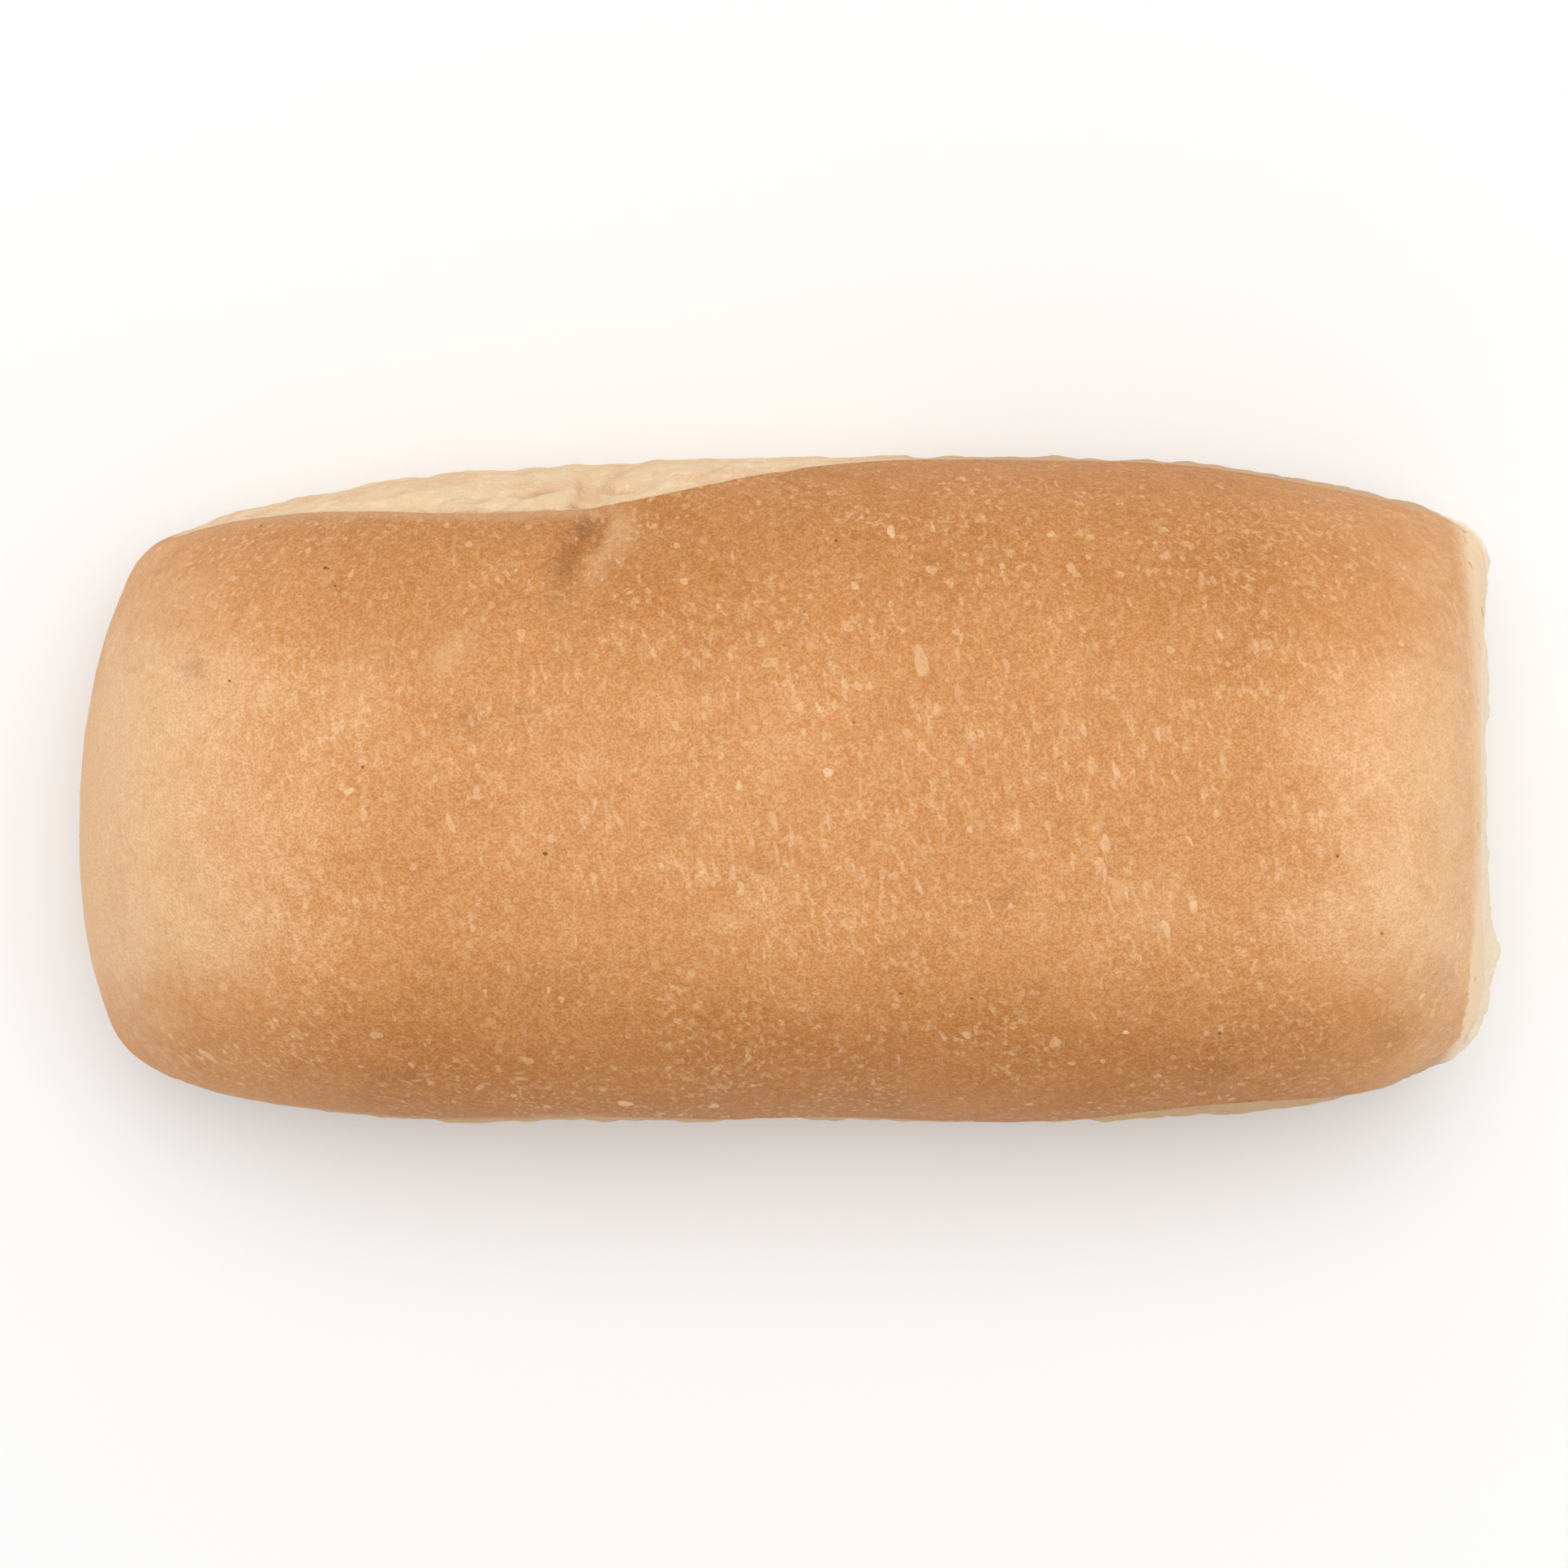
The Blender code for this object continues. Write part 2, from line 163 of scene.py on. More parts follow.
# Creases, nubs and ridges of the torn walls, by where they are in the photograph.
# long lies along turn, degrees up from the right; out is how far the wall stands out; how dark each mark is
# painted is partly a brown stain and partly painted shade in the creases and under the folds.
wallMarks = (
    {"photo": (667, 611), "long": 1.9, "wide": 0.28, "turn": 11, "out": -0.55, "creaseShadeAndStain": 0.9},
    {"photo": (640, 622), "long": 2.4, "wide": 0.5, "turn": 8, "out": 0.15, "creaseShadeAndStain": 0.0},
    {"photo": (715, 631), "long": 0.6, "wide": 0.2, "turn": 8, "out": -0.3, "creaseShadeAndStain": 1.0},
    {"photo": (711, 613), "long": 1.2, "wide": 0.35, "turn": 80, "out": 0.35, "creaseShadeAndStain": 0.0},
    {"photo": (722, 606), "long": 1.4, "wide": 0.5, "turn": 85, "out": -0.3, "creaseShadeAndStain": 0.25},
    {"photo": (748, 609), "long": 1.3, "wide": 0.3, "turn": 85, "out": 0.25, "creaseShadeAndStain": 0.0},
    {"photo": (759, 602), "long": 0.9, "wide": 0.5, "turn": 20, "out": 0.5, "creaseShadeAndStain": 0.0},
    {"photo": (784, 588), "long": 1.8, "wide": 0.5, "turn": 38, "out": 0.4, "creaseShadeAndStain": 0.0},
    {"photo": (757, 582), "long": 1.5, "wide": 0.7, "turn": 45, "out": -0.45, "creaseShadeAndStain": 0.25},
    {"photo": (764, 612), "long": 1.3, "wide": 0.2, "turn": -4, "out": -0.4, "creaseShadeAndStain": 0.5},
    {"photo": (744, 600), "long": 0.45, "wide": 0.3, "turn": 40, "out": -0.4, "creaseShadeAndStain": 0.5},
    {"photo": (776, 621), "long": 2.4, "wide": 0.45, "turn": 12, "out": 0.25, "creaseShadeAndStain": 0.0},
    {"photo": (798, 608), "long": 1.4, "wide": 0.5, "turn": 25, "out": -0.15, "creaseShadeAndStain": 0.25},
    {"photo": (585, 604), "long": 0.6, "wide": 0.5, "turn": 60, "out": 0.3, "creaseShadeAndStain": 0.0},
    {"photo": (595, 624), "long": 1.6, "wide": 0.2, "turn": 5, "out": -0.3, "creaseShadeAndStain": 0.35},
    {"photo": (540, 635), "long": 2.2, "wide": 0.2, "turn": -4, "out": -0.3, "creaseShadeAndStain": 0.35},
    {"photo": (598, 632), "long": 0.5, "wide": 0.15, "turn": 80, "out": -0.25, "creaseShadeAndStain": 0.3},
    {"photo": (883, 582), "long": 1.4, "wide": 0.25, "turn": 30, "out": -0.35, "creaseShadeAndStain": 0.4},
    {"photo": (900, 588), "long": 1.4, "wide": 0.35, "turn": 20, "out": 0.2, "creaseShadeAndStain": 0.0},
    {"photo": (975, 582), "long": 0.9, "wide": 0.25, "turn": 20, "out": -0.3, "creaseShadeAndStain": 0.6},
    {"photo": (840, 585), "long": 1.2, "wide": 0.5, "turn": 25, "out": 0.25, "creaseShadeAndStain": 0.0},
    {"photo": (468, 601), "long": 0.9, "wide": 0.6, "turn": 10, "out": 0.2, "creaseShadeAndStain": 0.0},
    {"photo": (505, 618), "long": 1.3, "wide": 0.5, "turn": 10, "out": 0.2, "creaseShadeAndStain": 0.0},
    {"photo": (202, 672), "long": 0.9, "wide": 0.6, "turn": 20, "out": 0.3, "creaseShadeAndStain": 0.0},
    {"photo": (1815, 676), "long": 1.9, "wide": 0.3, "turn": -65, "out": -0.5, "creaseShadeAndStain": 0.2, "reach": 4.0},
    {"photo": (1821, 686), "long": 0.9, "wide": 0.22, "turn": -70, "out": -0.1, "creaseShadeAndStain": 0.4, "reach": 4.0},
    {"photo": (1827, 686), "long": 1.1, "wide": 0.4, "turn": -65, "out": 0.4, "creaseShadeAndStain": 0.0, "reach": 4.0},
    {"photo": (1818, 1262), "long": 0.9, "wide": 0.22, "turn": 65, "out": 0.1, "creaseShadeAndStain": 0.4, "reach": 4.0},
    {"photo": (1810, 1281), "long": 0.5, "wide": 0.3, "turn": 60, "out": 0.0, "creaseShadeAndStain": 0.6, "reach": 4.0},
    {"photo": (610, 1381), "long": 1.8, "wide": 0.2, "turn": 0, "out": -0.2, "creaseShadeAndStain": 0.7},
    {"photo": (560, 1381), "long": 1.6, "wide": 0.2, "turn": -8, "out": -0.2, "creaseShadeAndStain": 0.7},
    {"photo": (1560, 1352), "long": 0.9, "wide": 0.2, "turn": 20, "out": -0.2, "creaseShadeAndStain": 0.5},
    {"photo": (1480, 1366), "long": 0.9, "wide": 0.2, "turn": 12, "out": -0.2, "creaseShadeAndStain": 0.5},
)
markHeight = 24.0  # height on the walls that the camera sees most of

# Soft darker and paler places on the crust; dark below zero is a paler place. The first six lie round the
# pinch: painted shade on its west flank and painted light on its east flank. The rest are darker and paler
# spots on the crust.
crustMarks = (
    {"photo": (724, 651), "long": 1.5, "wide": 1.1, "turn": 60, "dark": 0.75},
    {"photo": (703, 684), "long": 1.9, "wide": 1.2, "turn": 75, "dark": 0.55},
    {"photo": (694, 715), "long": 2.4, "wide": 1.2, "turn": 85, "dark": 0.4},
    {"photo": (738, 658), "long": 1.6, "wide": 0.4, "turn": 88, "dark": 0.35},
    {"photo": (764, 655), "long": 2.2, "wide": 1.5, "turn": 80, "dark": -0.35},
    {"photo": (736, 697), "long": 2.0, "wide": 1.2, "turn": 70, "dark": -0.28},
    {"photo": (640, 655), "long": 5.0, "wide": 1.1, "turn": 0, "dark": 0.22},
    {"photo": (240, 826), "long": 1.2, "wide": 1.0, "turn": 0, "dark": 0.55},
    {"photo": (580, 890), "long": 1.9, "wide": 1.4, "turn": 0, "dark": 0.3},
    {"photo": (650, 880), "long": 1.5, "wide": 1.2, "turn": 0, "dark": 0.3},
    {"photo": (850, 820), "long": 2.0, "wide": 1.5, "turn": 0, "dark": 0.2},
    {"photo": (1530, 676), "long": 1.4, "wide": 1.0, "turn": 0, "dark": 0.45},
    {"photo": (1240, 1110), "long": 1.9, "wide": 1.0, "turn": 20, "dark": 0.4},
    {"photo": (1280, 1220), "long": 1.6, "wide": 1.2, "turn": 0, "dark": 0.35},
    {"photo": (940, 1070), "long": 1.6, "wide": 1.0, "turn": 0, "dark": 0.3},
    {"photo": (840, 1020), "long": 1.6, "wide": 1.2, "turn": 0, "dark": 0.3},
    {"photo": (1712, 1276), "long": 1.7, "wide": 1.4, "turn": 0, "dark": 0.35},
    {"photo": (1505, 1322), "long": 1.5, "wide": 1.1, "turn": 0, "dark": 0.4},
    {"photo": (500, 1325), "long": 2.4, "wide": 1.0, "turn": 0, "dark": 0.3},
    {"photo": (670, 1215), "long": 4.5, "wide": 2.2, "turn": 0, "dark": 0.25},
    {"photo": (1785, 1200), "long": 2.2, "wide": 1.6, "turn": 70, "dark": 0.2},
    {"photo": (560, 805), "long": 2.6, "wide": 1.6, "turn": 50, "dark": -0.25},
    {"photo": (440, 840), "long": 4.5, "wide": 3.5, "turn": 80, "dark": -0.15},
    {"photo": (1420, 1120), "long": 3.0, "wide": 2.6, "turn": 60, "dark": -0.15},
)

grid = {
    "along": 330,
    "across": 140,
    "up": 54,
    "crowd": 0.72,
    "crowdAcross": 0.8,
    "baseShare": 0.45,
}


def mix(start, end, share):
    return start + (end - start) * share


def smooth(low, high, value):
    share = np.clip((value - low) / (high - low), 0.0, 1.0)
    return share * share * (3.0 - 2.0 * share)


def hill(value, middle, wide):
    return np.exp(-(((value - middle) / wide) ** 2))


def northEdge(x):
    topX = form["northTopX"]
    left = (topX - x).clip(0) / (topX - form["cornerNorthWest"][0])
    right = (x - topX).clip(0) / (form["cornerNorthEast"][0] - topX)
    leftFall = form["northTop"] - form["cornerNorthWest"][1]
    rightFall = form["northTop"] - form["cornerNorthEast"][1]
    leftBend, rightBend = form["northBend"]
    return form["northTop"] - leftFall * left**leftBend - rightFall * right**rightBend


def southEdge(x):
    left = (-x).clip(0) / -form["cornerSouthWest"][0]
    right = x.clip(0) / form["cornerSouthEast"][0]
    leftRise = form["cornerSouthWest"][1] - form["southLow"]
    rightRise = form["cornerSouthEast"][1] - form["southLow"]
    leftBend, rightBend = form["southBend"]
    dip = form["southDip"] * hill(x, form["southDipX"], form["southDipWide"])
    return form["southLow"] + dip + leftRise * left**leftBend + rightRise * right**rightBend


def westEdge(y):
    tipY = form["westTipY"]
    up = (y - tipY).clip(0) / (form["cornerNorthWest"][1] - tipY)
    down = (tipY - y).clip(0) / (tipY - form["cornerSouthWest"][1])
    upDraw = form["cornerNorthWest"][0] - form["westTip"]
    downDraw = form["cornerSouthWest"][0] - form["westTip"]
    upBend, downBend = form["westBend"]
    return form["westTip"] + upDraw * up**upBend + downDraw * down**downBend


def eastEdge(y):
    south, north = form["cornerSouthEast"], form["cornerNorthEast"]
    share = (y - south[1]) / (north[1] - south[1])
    hollow = form["eastHollow"] * 4.0 * share * (1.0 - share)
    return mix(south[0], north[0], share) - hollow


# Points of the widest line on one side.
def outline(u, v, side):
    if side == "north":
        x = mix(form["cornerNorthWest"][0], form["cornerNorthEast"][0], u)
        return np.stack([x, northEdge(x)], axis=-1)
    if side == "south":
        x = mix(form["cornerSouthWest"][0], form["cornerSouthEast"][0], u)
        return np.stack([x, southEdge(x)], axis=-1)
    if side == "west":
        y = mix(form["cornerSouthWest"][1], form["cornerNorthWest"][1], v)
        return np.stack([westEdge(y), y], axis=-1)
    y = mix(form["cornerSouthEast"][1], form["cornerNorthEast"][1], v)
    return np.stack([eastEdge(y), y], axis=-1)


# Way that a side sets off from one of its corners.
def heading(side, corner):
    step = 0.02
    if side in ("north", "south"):
        u = np.array([step if corner[0] < 0 else 1.0 - step])
        near = outline(u, None, side)[0]
    else:
        v = np.array([step if corner[1] < 0 else 1.0 - step])
        near = outline(None, v, side)[0]
    away = near - np.array(corner)
    return away / np.linalg.norm(away)


def cornerSides():
    return (
        (form["cornerNorthWest"], "north", "west"),
        (form["cornerSouthWest"], "south", "west"),
        (form["cornerNorthEast"], "north", "east"),
        (form["cornerSouthEast"], "south", "east"),
    )


# The corners are rounded most at the base, drop running from 1 there to 0 at the flank.
def rounded(points, side, drop):
    result = points.copy()
    for (corner, first, second), least in zip(cornerSides(), form["cornerCuts"]):
        if side not in (first, second):
            continue
        cut = mix(least, form["cornerCutBase"], drop)
        other = second if side == first else first
        along = heading(side, corner)
        beyond = heading(other, corner)
        gone = np.linalg.norm(points - np.array(corner), axis=-1)
        turn = 0.5 * (1.0 - np.clip(gone / cut, 0.0, 1.0))[:, None]
        curve = cut[:, None] * ((1.0 - turn) ** 2 * along + turn**2 * beyond)
        straight = np.minimum(gone, cut)[:, None] * along
        result += curve - straight
    return result


# How much of each side's sizes a point takes: near a corner two sides share it.
def sideShares(points, side):
    shares = {name: np.zeros(len(points)) for name in sideNames}
    own = np.ones(len(points))
    for corner, first, second in cornerSides():
        if side not in (first, second):
            continue
        other = second if side == first else first
        gone = np.linalg.norm(points - np.array(corner), axis=-1)
        given = 0.5 * (1.0 - smooth(0.0, form["cornerBlend"], gone))
        shares[other] += given
        own -= given
    shares[side] += own
    return shares


def blended(shares, values):
    return sum(shares[name] * value for name, value in zip(sideNames, values))


def inward(points):
    half = form["spineHalf"]
    spine = np.stack([points[:, 0].clip(-half, half), np.zeros(len(points))], axis=-1)
    away = spine - points
    return away / np.linalg.norm(away, axis=-1, keepdims=True)


def northRim(x):
    least = mix(form["rimLeastWest"], form["rimLeastEast"], smooth(-50.0, 20.0, x))
    wide = np.where(x < form["northWallX"], form["northWallWest"], form["northWallEast"])
    away = np.abs((x - form["northWallX"]) / wide)
    end = form["northEndLess"] * smooth(54.0, 66.0, x)
    return least + form["northWallShown"] * np.exp(-(away ** form["northWallBend"])) - end


def southRim(x):
    nearX, farX = form["southWallX"]
    nearWide, farWide = form["southWallWide"]
    shown = 0.5 * hill(x, nearX, nearWide) + hill(x, farX, farWide)
    end = form["southEndShown"] * smooth(56.0, 66.0, x)
    return form["southRim"] + form["southWallShown"] * shown + end


def eastRim(y):
    south, north = form["rimEast"]
    return mix(south, north, smooth(-18.0, 4.0, y)) - form["rimEastLess"] * smooth(12.0, 24.0, y)


def shoulder(distance, reach, power):
    share = 1.0 - np.clip(distance / reach, 0.0, 1.0)
    return (1.0 - share**power) ** (1.0 / power)


def capHeight(x, y):
    rise = shoulder(northEdge(x) - y, *form["shoulderLong"])
    rise = rise * shoulder(y - southEdge(x), *form["shoulderLong"])
    rise = rise * shoulder(x - westEdge(y), *form["shoulderWest"])
    rise = rise * shoulder(eastEdge(y) - x, *form["shoulderEast"])
    crown = form["crown"] - form["crownFall"] * (x - form["crownX"]) ** 2
    return form["flank"] + (crown - form["flank"]) * rise


# Points of a side, level 0 at the base and 1 at the crust's rim, and how much is west end.
def sidePoints(u, v, level, side):
    sharp = outline(u, v, side)
    shares = sideShares(sharp, side)
    widest = rounded(sharp, side, np.zeros(len(sharp)))
    towards = inward(widest)
    x, y = widest.T
    inset = blended(shares, (northRim(x), southRim(x), form["rimWest"], eastRim(y)))
    rim = widest + towards * inset[:, None]
    top = capHeight(rim[:, 0], rim[:, 1])
    height = top * mix(np.sin(0.5 * math.pi * level), level, grid["baseShare"])

    flank = np.minimum(form["flank"], 0.75 * top)
    climb = np.clip((height - flank) / (top - flank), 0.0, 1.0)
    tornWall = inset * climb ** form["tornBend"]
    reach, power = form["shoulderWest"]
    lift = (climb * shoulder(inset, reach, power)) ** power
    crusted = reach * (1.0 - (1.0 - lift) ** (1.0 / power))
    upper = mix(tornWall, crusted, shares["west"])

    base = blended(shares, form["baseInset"])
    rounding = blended(shares, form["baseRounding"])
    lower = base * (1.0 - height / rounding).clip(0) ** form["baseBend"]

    drop = 1.0 - smooth(0.0, form["flank"], height)
    plan = rounded(sharp, side, drop) + towards * (upper + lower)[:, None]
    return np.column_stack([plan, height]), shares["west"]


# Points of the cap, filled in between the four runs of the crust's rim.
def capPoints(u, v):
    zeros = np.zeros(len(u))
    ones = np.ones(len(u))
    south = sidePoints(u, zeros, ones, "south")[0][:, :2]
    north = sidePoints(u, ones, ones, "north")[0][:, :2]
    west = sidePoints(zeros, v, ones, "west")[0][:, :2]
    east = sidePoints(ones, v, ones, "east")[0][:, :2]
    southWest = sidePoints(zeros, zeros, ones, "south")[0][:, :2]
    southEast = sidePoints(ones, zeros, ones, "south")[0][:, :2]
    northWest = sidePoints(zeros, ones, ones, "north")[0][:, :2]
    northEast = sidePoints(ones, ones, ones, "north")[0][:, :2]
    u = u[:, None]
    v = v[:, None]
    corners = mix(mix(southWest, southEast, u), mix(northWest, northEast, u), v)
    plan = mix(south, north, v) + mix(west, east, u) - corners
    return np.column_stack([plan, capHeight(plan[:, 0], plan[:, 1])])


def spread(value, crowd):
    bend = 0.5 * math.pi * crowd
    return 0.5 + 0.5 * np.sin(bend * value) / math.sin(bend)


# A cube cut into the roll's grid, its base joined into one flat fan.
def boxGrid():
    mesh = bmesh.new()
    bmesh.ops.create_cube(mesh, size=2.0)
    for axis, count in enumerate((grid["along"], grid["across"], grid["up"])):
        edges = [
            edge
            for edge in mesh.edges
            if abs(edge.verts[0].co[axis] - edge.verts[1].co[axis]) > 1.0
        ]
        bmesh.ops.subdivide_edges(mesh, edges=edges, cuts=count - 1, use_grid_fill=True)
    base = [face for face in mesh.faces if face.normal.z < -0.99]
    joined = bmesh.ops.dissolve_faces(mesh, faces=base, use_verts=False)["region"]
    bmesh.ops.poke(mesh, faces=joined)
    return mesh


# Places for the grid's points, their level up the side, and how much each is west end.
def plainForm(places):
    u = spread(places[:, 0], grid["crowd"])
    v = spread(places[:, 1], grid["crowdAcross"])
    level = 0.5 + 0.5 * places[:, 2]
    edge = 0.9999
    between = np.abs(places[:, 1]) < edge
    sides = (
        ("north", places[:, 1] > edge),
        ("south", places[:, 1] < -edge),
        ("west", between & (places[:, 0] < -edge)),
        ("east", between & (places[:, 0] > edge)),
    )
    placed = np.zeros_like(places)
    west = np.ones(len(places))
    for side, picked in sides:
        placed[picked], west[picked] = sidePoints(u[picked], v[picked], level[picked], side)
    cap = between & (places[:, 2] > edge) & (np.abs(places[:, 0]) < edge)
    placed[cap] = capPoints(u[cap], v[cap])
    return placed, level, west, cap


def noiseAt(points, size, seed):
    offset = Vector((seed, 2.0 * seed, 3.0 * seed))
    return np.array([noise.noise(Vector(point) / size + offset) for point in points])


# How far the pinch in the north side lets the crust and the wall below it down.
def pinchDrop(points):
    x, y, z = points.T
    long = relief["pinchStepLong"]
    mouth = smooth(relief["pinchStepY"] - long, relief["pinchStepY"] + long, y)
    middle = relief["pinchX"] - relief["pinchStep"] * (1.0 - mouth)
    wide = np.where(x < middle, relief["pinchWest"], relief["pinchEast"])
    shape = np.exp(-(np.abs((x - middle) / wide) ** relief["pinchSharp"]))
    fade = smooth(relief["pinchEndY"], relief["pinchY"], y)
    rise = smooth(form["flank"], form["flank"] + relief["pinchRise"], z)
    return relief["pinchDeep"] * shape * fade * rise


def capRelief(points):
    return relief["capSwellHigh"] * noiseAt(points, relief["capSwell"], 1.7)


def wallRelief(points):
    x, y, z = points.T
    stretched = points * np.array([1.0, 1.0, 0.7])
    lumps = relief["wallLumpHigh"] * noiseAt(stretched, relief["wallLump"], 4.1)
    lumps += relief["tearHigh"] * noiseAt(stretched, relief["tear"], 7.3)
    fold = mix(relief["foldFoot"], 1.0, smooth(form["flank"], 2.0 * form["flank"], z))
    fold = fold * smooth(15.0, 25.0, y) * hill(x, relief["foldX"], relief["foldWide"])
    lumps -= relief["foldDeep"] * fold
    for placeY, placeZ, wide, out in relief["crumbBumps"]:
        bump = out * hill(y, placeY, wide) * hill(z, placeZ, 2.0 * wide)
        lumps += bump * smooth(60.0, 67.0, x)
    return lumps


# The relief that the solid has too.
def mainRelief(points, level, torn):
    beyond = 1.0 - smooth(58.0, 64.0, points[:, 0])  # the east end has no overhanging lip
    underRim = torn * (1.0 - smooth(0.9, 1.0, level))
    wall = wallRelief(points) - relief["undercut"] * hill(level, 0.9, 0.07) * beyond
    lip = relief["rimLip"] * torn * (level > 0.999) * beyond
    standing = smooth(0.0, relief["baseFade"], points[:, 2])
    return standing * mix(capRelief(points), wall, underRim) + lip


def sized(points, pair, seed):
    size, high = pair
    return high * noiseAt(points, size, seed)


# Uneven skin on the crust; creases and pits where the roll was torn.
def smallRelief(points, tornDepth):
    skin = sized(points, fineRelief["capUneven"], 2.3) + sized(points, fineRelief["capGrain"], 5.9)
    east = smooth(58.0, 66.0, points[:, 0])
    line = noiseAt(points, fineRelief["crease"], 8.8)
    where = smooth(-0.1, 0.25, noiseAt(points, 2.0 * fineRelief["crease"], 3.1))
    crease = -fineRelief["creaseDeep"] * hill(line, 0.0, fineRelief["creaseThin"]) * where
    pits = sized(points, fineRelief["crumbPit"], 6.4) + sized(points, fineRelief["crumbGrain"], 9.7)
    wall = crease * (1.0 - east) + sized(points, fineRelief["wallGrain"], 11.2) + pits * east
    share = smooth(0.0, 0.8, tornDepth)
    return smooth(0.0, 0.5 * relief["baseFade"], points[:, 2]) * mix(skin, wall, share)


# Where a pixel of the photograph lies, at a given height over the base.
def planPlace(photo, height):
    half = 0.5 * camera["picture"]
    reach = camera["over"] + camera["widest"] - height
    step = reach * camera["sensor"] / camera["lens"] / camera["picture"]
    x, y = camera["at"]
    return x + (photo[0] - half) * step, y + (half - photo[1]) * step


# How much of a mark each point has, the mark's middle lying at place.
def markShare(points, mark, place):
    angle = math.radians(mark["turn"])
    x = points[:, 0] - place[0]
    y = points[:, 1] - place[1]
    along = (x * math.cos(angle) + y * math.sin(angle)) / mark["long"]
    aside = (y * math.cos(angle) - x * math.sin(angle)) / mark["wide"]
    return np.exp(-(along**2) - aside**2)


# The named creases and nubs: how far they stand out and how dark they are painted, partly brown stain and
# partly painted shade in the creases.
def markedWalls(points, tornDepth):
    out = np.zeros(len(points))
    creaseShadeAndStain = np.zeros(len(points))
    upper = smooth(12.0, 16.0, points[:, 2])
    for mark in wallMarks:
        reach = mark.get("reach", 0.6)  # how far the mark may run on over the crust
        seen = upper * smooth(-reach, 0.2, tornDepth)
        share = markShare(points, mark, planPlace(mark["photo"], markHeight)) * seen
        out += mark["out"] * share
        creaseShadeAndStain += mark["creaseShadeAndStain"] * share
    return out, creaseShadeAndStain


# Where a pixel of the photograph lies on the cap.
def capPlace(photo):
    height = form["crown"]
    for _ in range(8):
        place = np.array(planPlace(photo, height))
        height = float(capHeight(place[0], place[1]))
    return place


# How much painted pinch shade, painted pinch light and darker or paler spot each point of the crust has.
def markedCrust(points, tornDepth):
    dark = np.zeros(len(points))
    onCrust = smooth(0.4, -0.2, tornDepth)
    for mark in crustMarks:
        dark += mark["dark"] * markShare(points, mark, capPlace(mark["photo"])) * onCrust
    return dark


# Distance from the crust's rim: above zero on a torn wall, below it on crust.
def tornDistance(points, level, west, cap):
    limit = 0.44
    ring = np.where((level > 0.999) & ~cap & (west < limit))[0]
    tree = KDTree(len(ring))
    for index in ring:
        tree.insert(points[index], index)
    tree.balance()
    gone = np.array([tree.find(point)[2] for point in points])
    fromEnd = (limit - west) * 12.0
    return np.where(cap, -gone, np.minimum(gone, fromEnd))


def vertexNormals(mesh):
    found = np.zeros(3 * len(mesh.vertices))
    mesh.vertex_normals.foreach_get("vector", found)
    return found.reshape(-1, 3)


def setPoints(mesh, points):
    mesh.vertices.foreach_set("co", points.ravel())
    mesh.update()


def addAttribute(mesh, name, values):
    attribute = mesh.attributes.new(name, "FLOAT", "POINT")
    attribute.data.foreach_set("value", values)


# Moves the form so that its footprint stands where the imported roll's does.
def stoodAsSolid(points):
    low, high = (np.array(corner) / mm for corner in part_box("roll"))
    shift = 0.5 * (low + high) - 0.5 * (points.min(axis=0) + points.max(axis=0))
    shift[2] = 0.0
    return points + shift


# The flat base keeps its own flat shading.
def keepBaseEdge(mesh, level):
    ends = np.zeros(2 * len(mesh.edges), int)
    mesh.edges.foreach_get("vertices", ends)
    sharp = (level[ends.reshape(-1, 2)] < 0.001).all(axis=1)
    mesh.attributes.new("sharp_edge", "BOOLEAN", "EDGE")
    mesh.attributes["sharp_edge"].data.foreach_set("value", sharp)


def makeRoll():
    built = boxGrid()
    places = np.array([vertex.co for vertex in built.verts])
    mesh = bpy.data.meshes.new("rollSkin")
    built.to_mesh(mesh)
    built.free()
    plain, level, west, cap = plainForm(places)
    plain[:, 2] -= pinchDrop(plain)
    setPoints(mesh, plain)
    torn = (1.0 - smooth(0.3, 0.5, west)) * ~cap
    formed = plain + vertexNormals(mesh) * mainRelief(plain, level, torn)[:, None]
    tornDepth = tornDistance(formed, level, west, cap)
    setPoints(mesh, formed)
    out, creaseShadeAndStain = markedWalls(formed, tornDepth)
    fine = smallRelief(formed, tornDepth) + out
    formed = formed + vertexNormals(mesh) * fine[:, None]
    formed[level < 0.001, 2] = 0.0
    setPoints(mesh, stoodAsSolid(formed) * mm)
    addAttribute(mesh, "tornDepth", tornDepth)
    addAttribute(mesh, "creaseShadeAndStain", creaseShadeAndStain)
    addAttribute(mesh, "spotsAndPinchShading", markedCrust(formed, tornDepth))
    mesh.polygons.foreach_set("use_smooth", np.ones(len(mesh.polygons), bool))
    keepBaseEdge(mesh, level)
    roll = bpy.data.objects.new("rollSkin", mesh)
    bpy.context.scene.collection.objects.link(roll)
    return roll


# Short ways to lay nodes.


def put(tree, kind, values=None, **settings):
    made = tree.nodes.new(kind)
    for name, value in settings.items():
        setattr(made, name, value)
    for name, value in (values or {}).items():
        feed(tree, made.inputs[name], value)
    return made


def feed(tree, socket, value):
    if isinstance(value, bpy.types.NodeSocket):
        tree.links.new(value, socket)
    else:
        socket.default_value = value


def calc(tree, operation, *values):
    made = tree.nodes.new("ShaderNodeMath")
    made.operation = operation
    for socket, value in zip(made.inputs, values):
        feed(tree, socket, value)
    return made.outputs[0]


def times(tree, *values):
    result = values[0]
    for value in values[1:]:
        result = calc(tree, "MULTIPLY", result, value)
    return result


